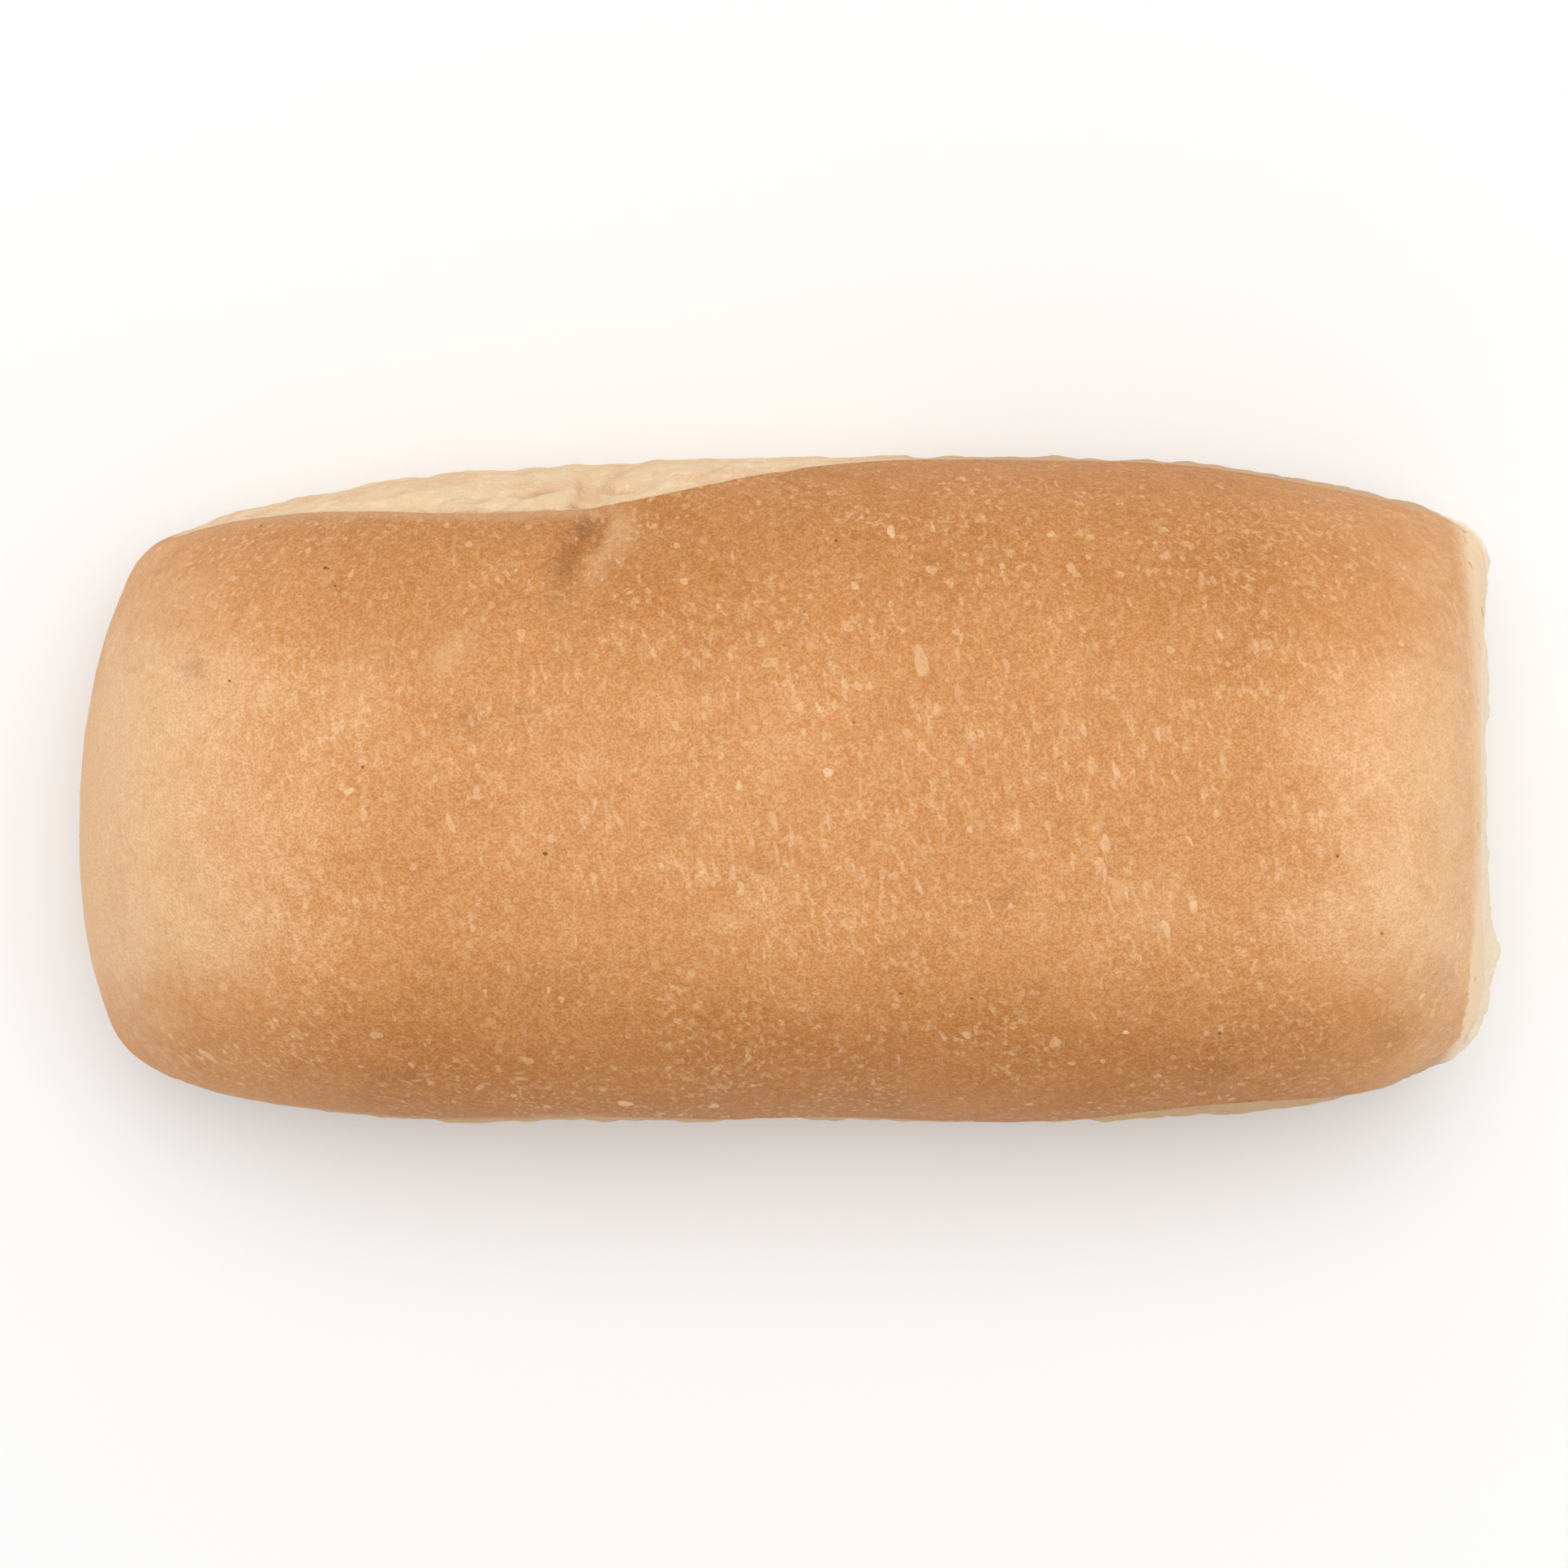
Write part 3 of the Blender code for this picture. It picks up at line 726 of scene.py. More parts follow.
def ranged(tree, value, low, high, toLow=0.0, toHigh=1.0, kind="SMOOTHSTEP"):
    made = tree.nodes.new("ShaderNodeMapRange")
    made.interpolation_type = kind
    feed(tree, made.inputs["Value"], value)
    feed(tree, made.inputs["From Min"], low)
    feed(tree, made.inputs["From Max"], high)
    feed(tree, made.inputs["To Min"], toLow)
    feed(tree, made.inputs["To Max"], toHigh)
    return made.outputs[0]


def blend(tree, share, first, second, kind="MIX"):
    made = tree.nodes.new("ShaderNodeMix")
    made.data_type = "RGBA"
    made.blend_type = kind
    feed(tree, made.inputs[0], share)
    feed(tree, made.inputs[6], first)
    feed(tree, made.inputs[7], second)
    return made.outputs[2]


def cloud(tree, where, size, detail=2.0, rough=0.5):
    values = {"Vector": where, "Scale": 1.0 / size, "Detail": detail, "Roughness": rough}
    return put(tree, "ShaderNodeTexNoise", values).outputs["Fac"]


def newGroup(name, inputs, outputs):
    group = bpy.data.node_groups.new(name, "ShaderNodeTree")
    for label, kind, value in inputs:
        socket = group.interface.new_socket(label, in_out="INPUT", socket_type=kind)
        socket.default_value = value
    for label, kind in outputs:
        group.interface.new_socket(label, in_out="OUTPUT", socket_type=kind)
    start = group.nodes.new("NodeGroupInput")
    end = group.nodes.new("NodeGroupOutput")
    return group, start.outputs, end.inputs


def useGroup(tree, group, **values):
    made = tree.nodes.new("ShaderNodeGroup")
    made.node_tree = group
    for name, value in values.items():
        feed(tree, made.inputs[name], value)
    return made.outputs


# The object's own coordinates in millimetres, so every size below is a real one.
def millimetres(tree):
    place = put(tree, "ShaderNodeTexCoord").outputs["Object"]
    return put(tree, "ShaderNodeMapping", {"Vector": place, "Scale": (1000.0, 1000.0, 1000.0)}).outputs[0]


# Coordinates for marks that run across the roll, turned a little and drawn out.
def drawnOut(tree, where, turn, stretch):
    turned = put(tree, "ShaderNodeMapping", {"Vector": where, "Rotation": (0.0, 0.0, math.radians(-turn))})
    scale = (1.0, 1.0 / stretch, 1.0)
    return put(tree, "ShaderNodeMapping", {"Vector": turned.outputs[0], "Scale": scale}).outputs[0]


baking = {
    "pale": (0.81, 0.490, 0.260, 1.0),
    "gold": (0.615, 0.280, 0.100, 1.0),
    "brown": (0.460, 0.180, 0.045, 1.0),
    "middle": 0.52,
    "westPale": (-34.0, -68.0, 0.50),  # from, to, how pale
    "eastPale": (40.0, 66.0, 0.45),
    "southBrown": (-12.0, -27.0, 0.45),
    "northBrown": (3.0, 25.0, 0.32),
    "patch": (18.0, 0.06),  # size, strength
    "mottle": (4.5, 0.05),
    "speckle": (1.0, 0.05),
}


# Colour of the crust at each place: browner on the shoulders, paler at the ends, mottled.
def bakedToneGroup():
    group, _, end = newGroup("bakedTone", (), (("Color", "NodeSocketColor"),))
    where = millimetres(group)
    place = put(group, "ShaderNodeSeparateXYZ", {"Vector": where}).outputs
    start, stop, share = baking["westPale"]
    west = ranged(group, place["X"], stop, start, -share, 0.0)
    start, stop, share = baking["eastPale"]
    east = ranged(group, place["X"], start, stop, 0.0, -share)
    start, stop, share = baking["southBrown"]
    south = ranged(group, place["Y"], stop, start, share, 0.0)
    south = times(group, south, ranged(group, place["X"], 50.0, 68.0, 1.0, 0.4))
    start, stop, share = baking["northBrown"]
    north = ranged(group, place["Y"], start, stop, 0.0, share)
    tone = baking["middle"]
    for part in (west, east, south, north):
        tone = calc(group, "ADD", tone, part)
    for name in ("patch", "mottle", "speckle"):
        size, strength = baking[name]
        swing = ranged(group, cloud(group, where, size, 1.0), 0.3, 0.7, -strength, strength)
        tone = calc(group, "ADD", tone, swing)
    ramp = put(group, "ShaderNodeValToRGB", {"Fac": tone})
    ramp.color_ramp.elements[0].color = baking["pale"]
    ramp.color_ramp.elements[0].position = 0.05
    ramp.color_ramp.elements[1].color = baking["brown"]
    ramp.color_ramp.elements[1].position = 1.0
    ramp.color_ramp.elements.new(0.5).color = baking["gold"]
    feed(group, end["Color"], ramp.outputs["Color"])
    return group


grainTint = (0.55, 1.0, 1.6)  # how much of the grain's contrast each colour takes


# Fine sandy grain that skin and crumb share: a shade to multiply by, and a height.
def sandGrainGroup():
    group, start, end = newGroup(
        "sandGrain",
        (("Size", "NodeSocketFloat", 0.2), ("Contrast", "NodeSocketFloat", 0.1)),
        (("Shade", "NodeSocketColor"), ("Height", "NodeSocketFloat")),
    )
    where = millimetres(group)
    scale = calc(group, "DIVIDE", 1.0, start["Size"])
    values = {"Vector": where, "Scale": scale, "Detail": 0.0}
    grain = put(group, "ShaderNodeTexNoise", values).outputs["Fac"]
    swing = times(group, ranged(group, grain, 0.34, 0.66, -1.0, 1.0), start["Contrast"])
    level = {}
    for name, share in zip(("Red", "Green", "Blue"), grainTint):
        level[name] = calc(group, "ADD", times(group, swing, share), 1.0)
    shade = put(group, "ShaderNodeCombineColor", level)
    feed(group, end["Shade"], shade.outputs["Color"])
    feed(group, end["Height"], grain)
    return group


skin = {
    "blister": (0.86, 0.580, 0.330, 1.0),
    "pit": (0.34, 0.135, 0.040, 1.0),
    "speck": (0.16, 0.070, 0.030, 1.0),
    "paintedGlint": (0.95, 0.760, 0.520, 1.0),
    # The soft dark multiplier also paints the shade in the pinch.
    "darkSpotAndPinchShade": (0.62, 0.600, 0.620, 1.0),  # what a soft dark place multiplies the colour by
    "lean": 9.0,
}


# Coordinates shaken a little, so that no spot is quite round.
def jittered(tree, where):
    shake = put(tree, "ShaderNodeTexNoise", {"Vector": where, "Scale": 1.6, "Detail": 0.0})
    reach = {0: shake.outputs["Color"], 1: (0.3, 0.3, 0.3), 2: where}
    return put(tree, "ShaderNodeVectorMath", reach, operation="MULTIPLY_ADD").outputs[0]


# Round spots in some of the cells of a scattered pattern, each of its own size and strength.
def spots(tree, where, cell, share, radius, soft=0.45):
    cells = put(tree, "ShaderNodeTexVoronoi", {"Vector": where, "Scale": 1.0 / cell})
    chance = put(tree, "ShaderNodeSeparateColor", {"Color": cells.outputs["Color"]}).outputs
    reach = ranged(tree, chance["Red"], 1.0 - share, 1.0, 0.0, radius / cell, "LINEAR")
    spot = ranged(tree, cells.outputs["Distance"], times(tree, reach, soft), reach, 1.0, 0.0)
    return times(tree, spot, ranged(tree, chance["Green"], 0.0, 1.0, 0.35, 1.0, "LINEAR"))


# What lies on and in the crust's skin: pale blisters, streaks and pits, and tiny painted highlights standing
# in for glints.
def crustSkinGroup():
    group, start, end = newGroup(
        "crustSkin",
        (("Crust", "NodeSocketColor", (0.6, 0.3, 0.1, 1.0)),),
        (("Color", "NodeSocketColor"),),
    )
    where = jittered(group, millimetres(group))
    across = drawnOut(group, where, skin["lean"], 1.5)
    blisters = spots(group, across, 1.7, 0.65, 0.42, 0.65)
    long = drawnOut(group, where, 1.5 * skin["lean"], 3.0)
    streaks = ranged(group, cloud(group, long, 0.6, 0.0), 0.6, 0.72)
    streaks = times(group, streaks, ranged(group, cloud(group, where, 9.0, 0.0), 0.4, 0.55))
    blotches = ranged(group, cloud(group, across, 0.75, 1.0), 0.48, 0.66)
    color = blend(group, times(group, blotches, 0.10), start["Crust"], skin["blister"])
    color = blend(group, times(group, blisters, 0.33), color, skin["blister"])
    color = blend(group, times(group, streaks, 0.25), color, skin["blister"])
    color = blend(group, times(group, spots(group, where, 0.42, 0.3, 0.075), 0.7), color, skin["pit"])
    # Tiny painted highlights: pale points standing in for glints of light on the grain.
    color = blend(group, times(group, spots(group, where, 0.7, 0.16, 0.085), 0.6), color, skin["paintedGlint"])
    feed(group, end["Color"], color)
    return group


crumb = {
    "cream": (0.79, 0.575, 0.350, 1.0),
    "white": (0.90, 0.740, 0.540, 1.0),
    "peach": (0.75, 0.475, 0.275, 1.0),
    "eastSkin": (0.90, 0.680, 0.440, 1.0),
    "tan": (0.58, 0.360, 0.195, 1.0),
    # Dark colour of the wall marks: partly brown stain, partly painted shade in the creases.
    "creaseShadeAndStain": (0.50, 0.220, 0.095, 1.0),
    "rimShade": (0.60, 0.375, 0.215, 1.0),  # the crust greys a little before it ends
    "underside": (0.46, 0.215, 0.075, 1.0),
    "tanNorth": (2.0, 22.0),  # along the north wall, cream to tan
    "softRim": (-27.0, 7.0, 1.7, 0.45),  # where along it the crust fades into the wall, how widely
    "eastCream": (66.4, 65.2),  # where the crust turns cream before the torn end, north and south
    "eastFade": (2.4, 0.25),
}


# Colour of the torn walls: cream with peach patches, whiter crumb at the east end.
def tornColor(tree, where, place, sandGrain):
    patches = ranged(tree, cloud(tree, where, 4.0), 0.45, 0.62)
    wall = blend(tree, times(tree, patches, 0.55), crumb["cream"], crumb["peach"])
    lumps = ranged(tree, cloud(tree, where, 1.4), 0.5, 0.66)
    wall = blend(tree, times(tree, lumps, 0.35), wall, crumb["white"])
    start, stop = crumb["tanNorth"]
    north = times(tree, ranged(tree, place["X"], start, stop, 0.0, 0.85), ranged(tree, place["Y"], 0.0, 20.0))
    tan = calc(tree, "MAXIMUM", north, ranged(tree, place["Y"], -5.0, -24.0, 0.0, 0.9))
    east = ranged(tree, place["X"], 63.0, 66.5)
    wall = blend(tree, times(tree, tan, calc(tree, "SUBTRACT", 1.0, east)), wall, crumb["tan"])
    wall = blend(tree, east, wall, crumb["white"])
    grain = useGroup(tree, sandGrain, Size=0.22, Contrast=0.04)
    return blend(tree, 1.0, wall, grain["Shade"], "MULTIPLY")


# The pale ends are smoother than the middle.
def grainContrast(tree, place, most):
    away = calc(tree, "ABSOLUTE", place["X"])
    return ranged(tree, away, 42.0, 66.0, most, 0.5 * most)


def rollMaterial(bakedTone, crustSkin, sandGrain):
    material = bpy.data.materials.new("browned crust and torn crumb")
    material.use_nodes = True
    tree = material.node_tree
    shader = tree.nodes["Principled BSDF"]
    where = millimetres(tree)
    place = put(tree, "ShaderNodeSeparateXYZ", {"Vector": where}).outputs
    depth = put(tree, "ShaderNodeAttribute", attribute_name="tornDepth").outputs["Fac"]
    creaseShadeAndStain = put(tree, "ShaderNodeAttribute", attribute_name="creaseShadeAndStain").outputs["Fac"]
    dark = put(tree, "ShaderNodeAttribute", attribute_name="spotsAndPinchShading").outputs["Fac"]

    crust = useGroup(tree, crustSkin, Crust=useGroup(tree, bakedTone)["Color"])
    fine = useGroup(tree, sandGrain, Size=0.22, Contrast=grainContrast(tree, place, 0.15))
    coarse = useGroup(tree, sandGrain, Size=0.5, Contrast=grainContrast(tree, place, 0.08))
    color = blend(tree, 1.0, crust["Color"], fine["Shade"], "MULTIPLY")
    color = blend(tree, 1.0, color, coarse["Shade"], "MULTIPLY")
    # Painted shade in the pinch and darker spots multiply the colour down; painted light on the pinch's lit
    # flank and paler spots blend it towards the blister colour.
    color = blend(tree, ranged(tree, dark, 0.0, 1.0, kind="LINEAR"), color, skin["darkSpotAndPinchShade"], "MULTIPLY")
    color = blend(tree, ranged(tree, dark, 0.0, -1.0, kind="LINEAR"), color, skin["blister"])

    ragged = ranged(tree, cloud(tree, where, 0.9, 1.0), 0.0, 1.0, -0.25, 0.25, "LINEAR")
    edge = calc(tree, "ADD", depth, ragged)
    middle, wide, softest, firmest = crumb["softRim"]
    away = calc(tree, "ABSOLUTE", calc(tree, "SUBTRACT", place["X"], middle))
    tornHere = ranged(tree, edge, -0.15, ranged(tree, away, 0.3 * wide, wide, softest, firmest))
    greyed = times(tree, ranged(tree, edge, -2.0, 0.0, 0.0, 0.5), ranged(tree, place["X"], -14.0, -20.0))
    greyed = times(tree, greyed, ranged(tree, place["X"], -64.0, -54.0))
    color = blend(tree, greyed, color, crumb["rimShade"])
    north, south = crumb["eastCream"]
    past = calc(tree, "SUBTRACT", place["X"], ranged(tree, place["Y"], -20.0, 0.0, south, north))
    north, south = crumb["eastFade"]
    past = calc(tree, "ADD", past, ranged(tree, ragged, -0.25, 0.25, -0.5, 0.5, "LINEAR"))
    faded = ranged(tree, place["Y"], -20.0, 0.0, -south, -north)
    color = blend(tree, times(tree, ranged(tree, past, faded, 0.1), 0.9), color, crumb["eastSkin"])
    wall = tornColor(tree, where, place, sandGrain)
    color = blend(tree, tornHere, color, wall)
    # The wall marks' darkening: brown stain and painted crease shade.
    color = blend(tree, times(tree, creaseShadeAndStain, 0.75), color, crumb["creaseShadeAndStain"])
    under = ranged(tree, place["Z"], 0.5, 1.8, 0.85, 0.0)
    color = blend(tree, under, color, crumb["underside"])
    feed(tree, shader.inputs["Base Color"], color)

    sheen = ranged(tree, coarse["Height"], 0.3, 0.7, 0.52, 0.66)
    feed(tree, shader.inputs["Roughness"], ranged(tree, tornHere, 0.0, 1.0, sheen, 0.85, "LINEAR"))
    height = calc(tree, "ADD", fine["Height"], times(tree, coarse["Height"], 0.8))
    bump = put(tree, "ShaderNodeBump", {"Height": height, "Distance": 0.00012, "Strength": 0.6})
    feed(tree, shader.inputs["Normal"], bump.outputs["Normal"])
    shader.inputs["Specular IOR Level"].default_value = 0.2
    return material


# Blisters and flakes that show singly, by where they are in the photograph.
# long lies along turn, degrees anticlockwise from the way across the roll.
flakes = (
    {"photo": (1098, 655), "long": 1.7, "wide": 0.9, "turn": 0, "white": 0.85},
    {"photo": (1135, 815), "long": 3.3, "wide": 1.4, "turn": 2, "white": 0.5},
    {"photo": (1053, 722), "long": 0.9, "wide": 0.8, "turn": 0, "white": 0.7},
    {"photo": (1235, 697), "long": 1.0, "wide": 0.6, "turn": 10, "white": 0.5},
    {"photo": (1295, 658), "long": 1.1, "wide": 0.8, "turn": 0, "white": 0.6},
    {"photo": (1320, 700), "long": 1.7, "wide": 0.8, "turn": 20, "white": 0.5},
    {"photo": (843, 716), "long": 1.0, "wide": 0.8, "turn": 0, "white": 0.55},
    {"photo": (550, 647), "long": 0.9, "wide": 0.7, "turn": 0, "white": 0.5},
    {"photo": (545, 815), "long": 2.4, "wide": 1.7, "turn": 30, "white": 0.35},
    {"photo": (1020, 952), "long": 1.1, "wide": 0.9, "turn": 0, "white": 0.9},
    {"photo": (910, 968), "long": 0.9, "wide": 0.6, "turn": 10, "white": 0.85},
    {"photo": (1195, 1022), "long": 0.9, "wide": 0.6, "turn": 0, "white": 0.65},
    {"photo": (430, 975), "long": 1.2, "wide": 0.6, "turn": -60, "white": 0.85},
    {"photo": (385, 805), "long": 0.9, "wide": 0.7, "turn": 0, "white": 0.4},
    {"photo": (555, 1015), "long": 2.0, "wide": 0.7, "turn": 25, "white": 0.55},
    {"photo": (1362, 1040), "long": 2.1, "wide": 0.9, "turn": 8, "white": 0.6},
    {"photo": (1361, 1075), "long": 2.0, "wide": 0.5, "turn": 4, "white": 0.6},
    {"photo": (1378, 1098), "long": 2.5, "wide": 1.4, "turn": 8, "white": 0.3},
    {"photo": (1388, 1101), "long": 1.6, "wide": 0.35, "turn": 8, "white": 0.75},
    {"photo": (1387, 1073), "long": 0.8, "wide": 0.6, "turn": 30, "white": 0.5},
    {"photo": (1437, 1145), "long": 2.1, "wide": 0.8, "turn": 15, "white": 0.7},
    {"photo": (1425, 1124), "long": 1.1, "wide": 0.35, "turn": 25, "white": 0.6},
    {"photo": (1471, 1117), "long": 1.2, "wide": 0.9, "turn": 0, "white": 0.7},
    {"photo": (1466, 1036), "long": 1.2, "wide": 0.4, "turn": 25, "white": 0.8},
    {"photo": (1393, 1138), "long": 1.2, "wide": 0.35, "turn": 55, "white": 0.5},
    {"photo": (1322, 1055), "long": 1.0, "wide": 0.4, "turn": 35, "white": 0.6},
    {"photo": (903, 1076), "long": 1.5, "wide": 0.8, "turn": 0, "white": 0.5},
    {"photo": (255, 1300), "long": 2.1, "wide": 1.2, "turn": 20, "white": 0.6},
    {"photo": (226, 1305), "long": 1.5, "wide": 0.4, "turn": 20, "white": 0.5},
    {"photo": (650, 1307), "long": 1.4, "wide": 1.2, "turn": 30, "white": 0.35},
    {"photo": (633, 1350), "long": 0.8, "wide": 0.7, "turn": 0, "white": 0.6},
    {"photo": (770, 1360), "long": 1.7, "wide": 1.6, "turn": 75, "white": 0.75},
    {"photo": (880, 1363), "long": 1.3, "wide": 1.2, "turn": 80, "white": 0.65},
    {"photo": (1300, 1285), "long": 1.7, "wide": 1.2, "turn": 10, "white": 0.45},
    {"photo": (1387, 1272), "long": 0.8, "wide": 0.5, "turn": 80, "white": 0.9},
    {"photo": (1335, 900), "long": 1.3, "wide": 0.7, "turn": 5, "white": 0.55},
    {"photo": (1375, 950), "long": 1.6, "wide": 0.7, "turn": 15, "white": 0.65},
    {"photo": (1154, 874), "long": 1.2, "wide": 0.9, "turn": 0, "white": 0.55},
    {"photo": (1190, 873), "long": 0.8, "wide": 0.7, "turn": 0, "white": 0.4},
    {"photo": (1041, 857), "long": 1.1, "wide": 0.6, "turn": 10, "white": 0.5},
    {"photo": (1008, 872), "long": 1.2, "wide": 0.5, "turn": 15, "white": 0.8},
    {"photo": (909, 858), "long": 1.0, "wide": 0.4, "turn": 0, "white": 0.65},
    {"photo": (1133, 886), "long": 1.0, "wide": 0.4, "turn": 15, "white": 0.55},
    {"photo": (1016, 907), "long": 0.9, "wide": 0.7, "turn": 0, "white": 0.5},
    {"photo": (990, 902), "long": 0.9, "wide": 0.7, "turn": 0, "white": 0.45},
    {"photo": (1117, 903), "long": 1.2, "wide": 0.8, "turn": 15, "white": 0.35},
    {"photo": (953, 1011), "long": 2.4, "wide": 0.7, "turn": 15, "white": 0.4},
    {"photo": (957, 1052), "long": 2.6, "wide": 0.5, "turn": 10, "white": 0.35},
    {"photo": (1021, 1014), "long": 2.3, "wide": 0.35, "turn": 8, "white": 0.5},
    {"photo": (982, 1107), "long": 1.4, "wide": 0.5, "turn": 5, "white": 0.4},
    {"photo": (1133, 1094), "long": 1.8, "wide": 0.5, "turn": 18, "white": 0.4},
    {"photo": (1128, 1040), "long": 2.0, "wide": 0.45, "turn": 35, "white": 0.35},
    {"photo": (1060, 970), "long": 1.9, "wide": 0.5, "turn": 0, "white": 0.35},
    {"photo": (475, 735), "long": 1.0, "wide": 0.6, "turn": 0, "white": 0.4},
    {"photo": (169, 787), "long": 1.1, "wide": 0.5, "turn": -40, "white": 0.6},
    {"photo": (139, 802), "long": 1.0, "wide": 0.7, "turn": 0, "white": 0.6},
    {"photo": (258, 733), "long": 0.9, "wide": 0.5, "turn": -40, "white": 0.5},
    {"photo": (237, 735), "long": 0.8, "wide": 0.6, "turn": -10, "white": 0.5},
    {"photo": (301, 667), "long": 1.0, "wide": 0.5, "turn": -30, "white": 0.6},
    {"photo": (276, 665), "long": 0.7, "wide": 0.5, "turn": 0, "white": 0.6},
    {"photo": (1803, 775), "long": 1.1, "wide": 0.4, "turn": 5, "white": 0.6},
    {"photo": (1808, 855), "long": 0.8, "wide": 0.5, "turn": 0, "white": 0.7},
    {"photo": (1807, 1096), "long": 0.8, "wide": 0.4, "turn": 0, "white": 0.9},
    {"photo": (1796, 1155), "long": 1.3, "wide": 0.4, "turn": 0, "white": 0.7},
    {"photo": (1752, 1228), "long": 1.0, "wide": 0.6, "turn": -20, "white": 0.8},
    {"photo": (1727, 793), "long": 0.8, "wide": 0.6, "turn": 0, "white": 0.6},
    {"photo": (1240, 820), "long": 1.6, "wide": 0.7, "turn": 10, "white": 0.4},
    {"photo": (1180, 805), "long": 1.4, "wide": 0.6, "turn": 5, "white": 0.4},
    {"photo": (402, 700), "long": 0.75, "wide": 0.45, "turn": 80, "white": -0.8},
    {"photo": (413, 722), "long": 0.25, "wide": 0.2, "turn": 0, "white": -0.8},
    {"photo": (322, 648), "long": 0.4, "wide": 0.25, "turn": 30, "white": -0.8},
    {"photo": (283, 839), "long": 0.25, "wide": 0.25, "turn": 0, "white": -0.9},
    {"photo": (447, 945), "long": 0.3, "wide": 0.3, "turn": 0, "white": -0.9},
    {"photo": (672, 1052), "long": 0.35, "wide": 0.5, "turn": 0, "white": -0.8},
    {"photo": (1030, 666), "long": 0.35, "wide": 0.3, "turn": 0, "white": -0.8},
    {"photo": (1052, 890), "long": 0.2, "wide": 0.25, "turn": 0, "white": -0.8},
    {"photo": (1110, 1224), "long": 0.5, "wide": 0.25, "turn": 70, "white": -0.7},
    {"photo": (1197, 1230), "long": 0.4, "wide": 0.25, "turn": 70, "white": -0.7},
    {"photo": (1648, 1055), "long": 0.35, "wide": 0.25, "turn": 0, "white": -0.8},
    {"photo": (1703, 1150), "long": 0.35, "wide": 0.3, "turn": 0, "white": -0.7},
    {"photo": (1503, 1273), "long": 0.4, "wide": 0.35, "turn": 0, "white": -0.8},
)

blister = {
    "count": 1600,
    "seed": 11,
    "long": (0.45, 1.25),
    "slim": (0.5, 0.95),
    "white": (0.12, 0.55),
    "whiteBend": 2.2,  # most are faint
    "streaks": 0.2,  # share of them drawn out into streaks
    "streakLong": (0.9, 1.7),
    "streakWide": (0.28, 0.45),
    "high": 0.035,
    "singleHigh": (0.05, 0.10),  # at no whiteness, at full whiteness
    "lean": 16.0,
    "clearOfRim": 0.8,
    "clearOfBase": 6.0,
    "sides": 12,
    # Rings from the middle out: how far out, how high, how much of the colour.
    "rings": ((0.0, 1.0, 0.8), (0.5, 0.9, 0.8), (0.78, 0.6, 1.0), (0.92, 0.1, 0.85), (1.0, -0.4, 0.0)),
    # Lobes round the edge: how many, how strong.
    "lobes": ((2, 0.12), (3, 0.13), (5, 0.07)),
}


# From the camera through a pixel of the photograph.
def photoRay(photo):
    x, y = camera["at"]
    start = Vector((x, y, camera["over"] + camera["widest"]))
    seen = Vector((*planPlace(photo, 0.0), 0.0))
    return start * mm, (seen - start).normalized()


# A low dome laid on the crust, its edge just under the skin.
def domePoints(tree, centre, normal, size, turn, high, draws):
    across = Vector((0.0, 1.0, 0.0))
    along = (across - normal * across.dot(normal)).normalized()
    along = Matrix.Rotation(math.radians(turn), 3, normal) @ along
    aside = normal.cross(along)
    phases = draws.uniform(0.0, 2.0 * math.pi, len(blister["lobes"]))
    points = []
    shares = []
    for reach, rise, share in blister["rings"]:
        count = blister["sides"] if reach else 1
        for step in range(count):
            angle = 2.0 * math.pi * step / count
            wobble = 1.0
            for (number, strength), phase in zip(blister["lobes"], phases):
                wobble += strength * math.sin(number * angle + phase)
            out = 0.5 * reach * wobble * mm
            spot = centre + along * (size[0] * out * math.cos(angle))
            spot = spot + aside * (size[1] * out * math.sin(angle))
            near, up, _, _ = tree.find_nearest(spot)
            points.append(near + up * (rise * high * mm))
            shares.append(share)
    return points, shares


def domeFaces(first):
    faces = []
    sides = blister["sides"]
    for step in range(sides):
        following = (step + 1) % sides
        faces.append((first, first + 1 + step, first + 1 + following))
        for ring in range(len(blister["rings"]) - 2):
            inner = first + 1 + sides * ring
            outer = inner + sides
            faces.append((inner + step, outer + step, outer + following, inner + following))
    return faces


# Places on the crust, spread evenly over its area.
def scattered(roll, draws):
    mesh = roll.data
    count = len(mesh.polygons)
    areas = np.zeros(count)
    mesh.polygons.foreach_get("area", areas)
    centres = np.zeros(3 * count)
    mesh.polygons.foreach_get("center", centres)
    centres = centres.reshape(-1, 3)
    depth = np.zeros(len(mesh.vertices))
    mesh.attributes["tornDepth"].data.foreach_get("value", depth)
    starts = np.array([face.vertices[0] for face in mesh.polygons])
    usable = areas * (depth[starts] < -blister["clearOfRim"])
    usable *= centres[:, 2] > blister["clearOfBase"] * mm
    picked = draws.choice(count, blister["count"], p=usable / usable.sum())
    return [Vector(centres[index]) for index in picked]


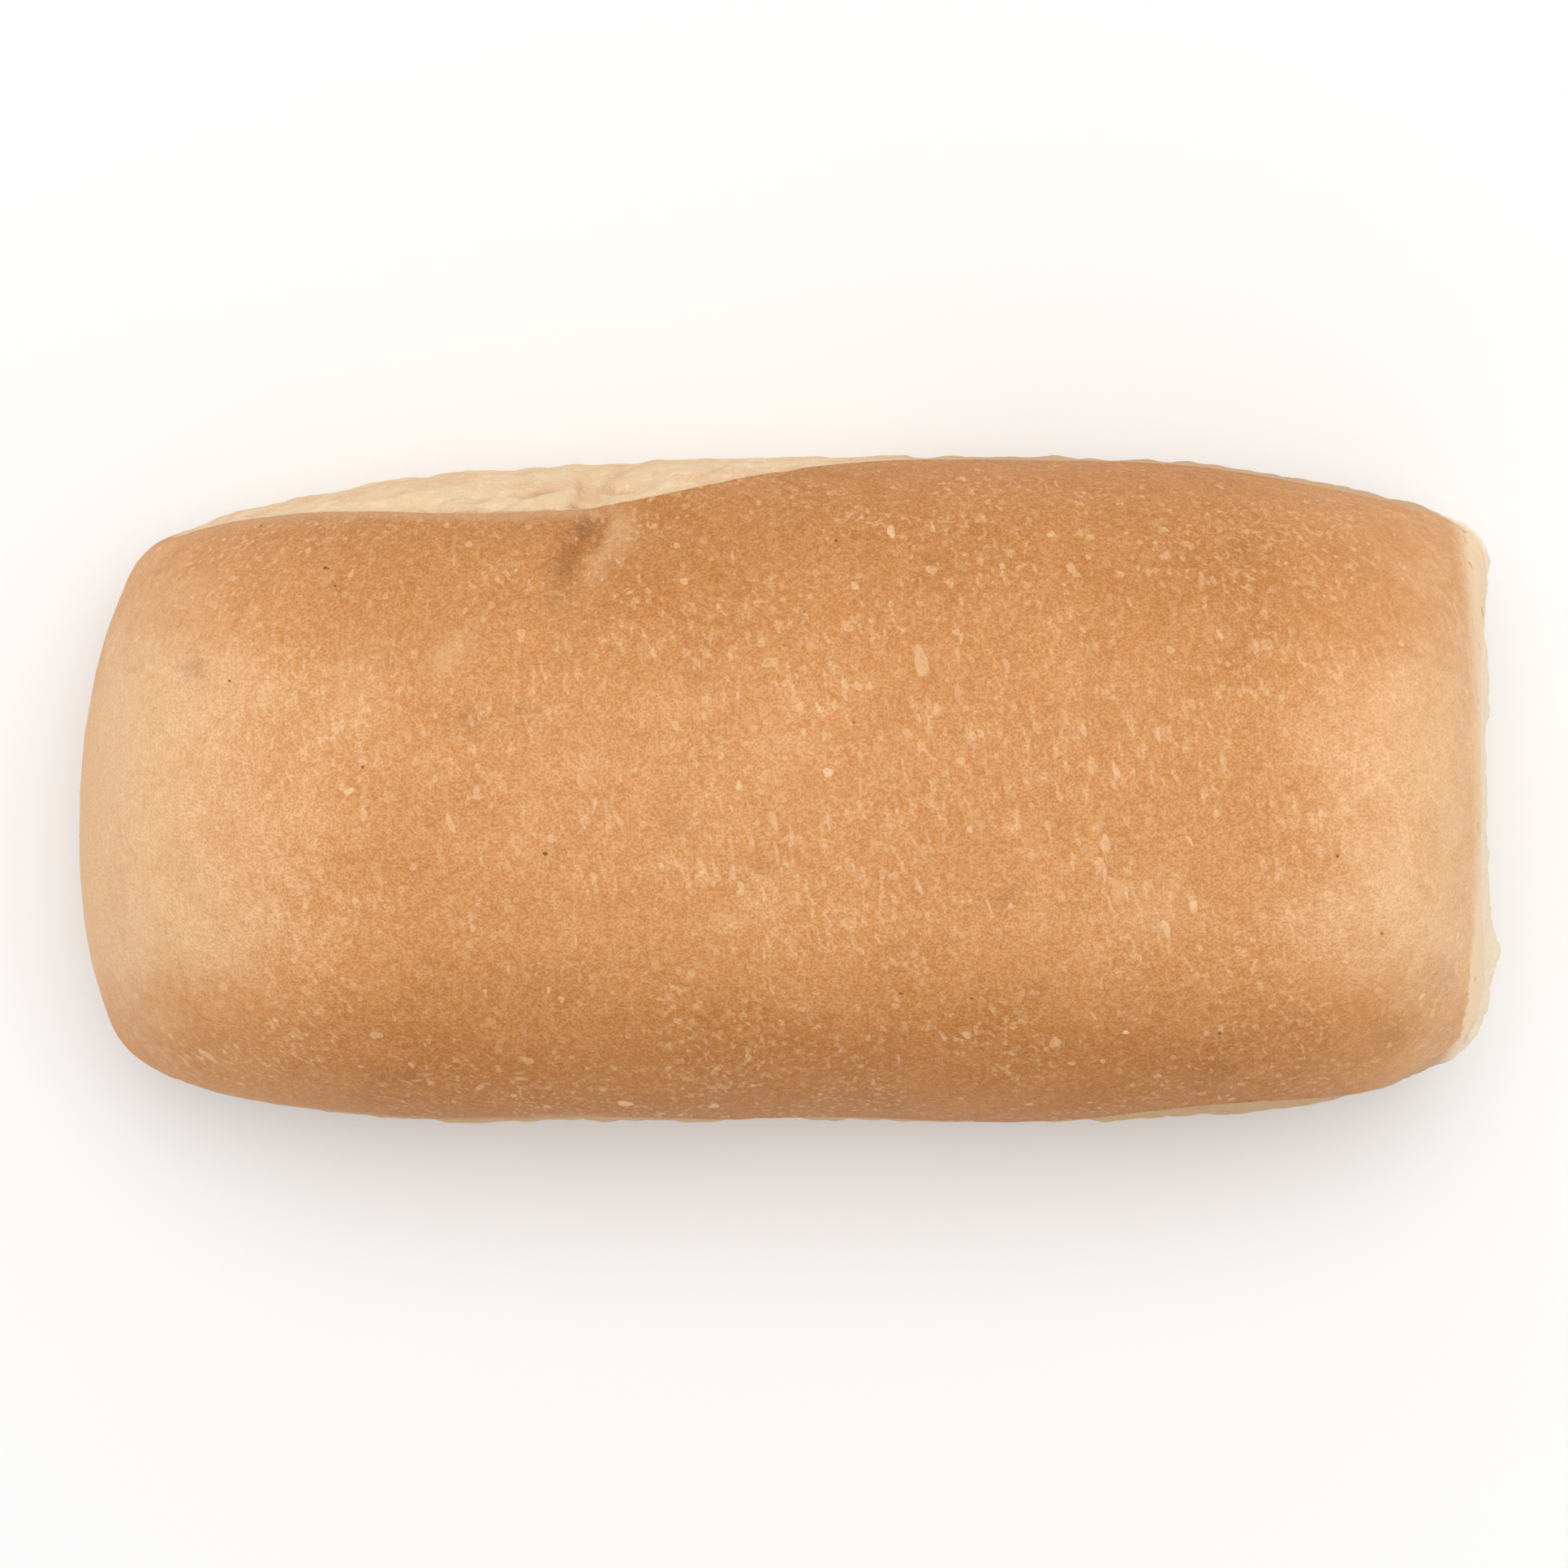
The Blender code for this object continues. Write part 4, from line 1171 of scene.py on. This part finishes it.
def makeBlisters(roll, material):
    tree = BVHTree.FromObject(roll, bpy.context.evaluated_depsgraph_get())
    draws = np.random.default_rng(blister["seed"])
    points, faces, shares, whites = [], [], [], []

    def lay(centre, normal, size, turn, high, white):
        made, share = domePoints(tree, centre, normal, size, turn, high, draws)
        faces.extend(domeFaces(len(points)))
        points.extend(made)
        shares.extend(share)
        whites.extend([white] * len(made))

    for flake in flakes:
        start, direction = photoRay(flake["photo"])
        centre, normal, _, _ = tree.ray_cast(start, direction)
        high = mix(*blister["singleHigh"], abs(flake["white"]))
        lay(centre, normal, (flake["long"], flake["wide"]), flake["turn"], high, flake["white"])
    for spot in scattered(roll, draws):
        centre, normal, _, _ = tree.find_nearest(spot)
        if draws.uniform() < blister["streaks"]:
            long = draws.uniform(*blister["streakLong"])
            wide = draws.uniform(*blister["streakWide"])
        else:
            long = draws.uniform(*blister["long"]) * draws.uniform(0.7, 1.0)
            wide = long * draws.uniform(*blister["slim"])
        lean = blister["lean"] * smooth(-20.0, 30.0, centre.x / mm) + draws.normal(0.0, 10.0)
        white = mix(*blister["white"], draws.uniform() ** blister["whiteBend"])
        lay(centre, normal, (long, wide), lean, blister["high"], white)
    mesh = bpy.data.meshes.new("crustBlisters")
    mesh.from_pydata(points, [], faces)
    mesh.polygons.foreach_set("use_smooth", np.ones(len(mesh.polygons), bool))
    addAttribute(mesh, "middle", np.array(shares))
    addAttribute(mesh, "whiteness", np.array(whites))
    mesh.materials.append(material)
    blisters = bpy.data.objects.new("crustBlisters", mesh)
    bpy.context.scene.collection.objects.link(blisters)
    return blisters


def blisterMaterial(bakedTone, crustSkin, sandGrain):
    material = bpy.data.materials.new("pale blister skin")
    material.use_nodes = True
    tree = material.node_tree
    shader = tree.nodes["Principled BSDF"]
    where = millimetres(tree)
    crust = useGroup(tree, crustSkin, Crust=useGroup(tree, bakedTone)["Color"])
    middle = put(tree, "ShaderNodeAttribute", attribute_name="middle").outputs["Fac"]
    white = put(tree, "ShaderNodeAttribute", attribute_name="whiteness").outputs["Fac"]
    uneven = ranged(tree, cloud(tree, where, 0.3, 0.0), 0.3, 0.7, -0.25, 0.25)
    share = ranged(tree, calc(tree, "ADD", middle, uneven), 0.1, 0.9)
    grain = useGroup(tree, sandGrain, Size=0.17, Contrast=0.06)
    paler = times(tree, share, ranged(tree, white, 0.0, 1.0, kind="LINEAR"), 0.85)
    color = blend(tree, paler, crust["Color"], skin["blister"])
    color = blend(tree, times(tree, share, ranged(tree, white, 0.0, -1.0)), color, skin["speck"])
    color = blend(tree, 1.0, color, grain["Shade"], "MULTIPLY")
    feed(tree, shader.inputs["Base Color"], color)
    bump = put(tree, "ShaderNodeBump", {"Height": grain["Height"], "Distance": 0.0001, "Strength": 0.6})
    feed(tree, shader.inputs["Normal"], bump.outputs["Normal"])
    feed(tree, shader.inputs["Roughness"], ranged(tree, grain["Height"], 0.3, 0.7, 0.5, 0.64))
    shader.inputs["Specular IOR Level"].default_value = 0.2
    return material


def makeCamera():
    data = bpy.data.cameras.new("overhead")
    data.lens = camera["lens"]
    data.sensor_width = camera["sensor"]
    data.clip_start = 0.01
    eye = bpy.data.objects.new("overhead", data)
    x, y = camera["at"]
    eye.location = (x * mm, y * mm, (camera["over"] + camera["widest"]) * mm)
    bpy.context.scene.collection.objects.link(eye)
    bpy.context.scene.camera = eye


light = {
    "key": 7.1,
    "keyAt": (0.05, 0.27, 1.1),
    "keySize": 1.1,
    "world": 0.72,
    "floor": (0.87, 0.87, 0.87, 1.0),
}


def makeFloor():
    bpy.ops.mesh.primitive_plane_add(size=4.0, location=(0.0, 0.0, -0.0001))
    floor = bpy.context.object
    floor.name = "paleFloor"
    material = bpy.data.materials.new("pale floor")
    material.use_nodes = True
    shader = material.node_tree.nodes["Principled BSDF"]
    shader.inputs["Base Color"].default_value = light["floor"]
    shader.inputs["Roughness"].default_value = 0.9
    floor.data.materials.append(material)


def makeLights():
    data = bpy.data.lights.new("key", "AREA")
    data.shape = "DISK"
    data.size = light["keySize"]
    data.energy = light["key"]
    key = bpy.data.objects.new("key", data)
    key.location = light["keyAt"]
    key.rotation_euler = (-Vector(light["keyAt"])).to_track_quat("-Z", "Y").to_euler()
    bpy.context.scene.collection.objects.link(key)
    world = bpy.data.worlds.new("studio")
    world.use_nodes = True
    world.node_tree.nodes["Background"].inputs["Color"].default_value = (1.0, 1.0, 1.0, 1.0)
    world.node_tree.nodes["Background"].inputs["Strength"].default_value = light["world"]
    bpy.context.scene.world = world


bpy.context.scene.view_settings.view_transform = "Standard"
makeCamera()
makeLights()
makeFloor()
print("stage: camera, light and floor")

bakedTone = bakedToneGroup()
sandGrain = sandGrainGroup()
crustSkin = crustSkinGroup()
roll = makeRoll()
roll.data.materials.append(rollMaterial(bakedTone, crustSkin, sandGrain))
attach(roll, "root")
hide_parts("roll")
print("stage: roll", len(roll.data.polygons), "faces")

blisters = makeBlisters(roll, blisterMaterial(bakedTone, crustSkin, sandGrain))
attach(blisters, "root")
print("stage: blisters", len(blisters.data.polygons), "faces")

print("stage: done")
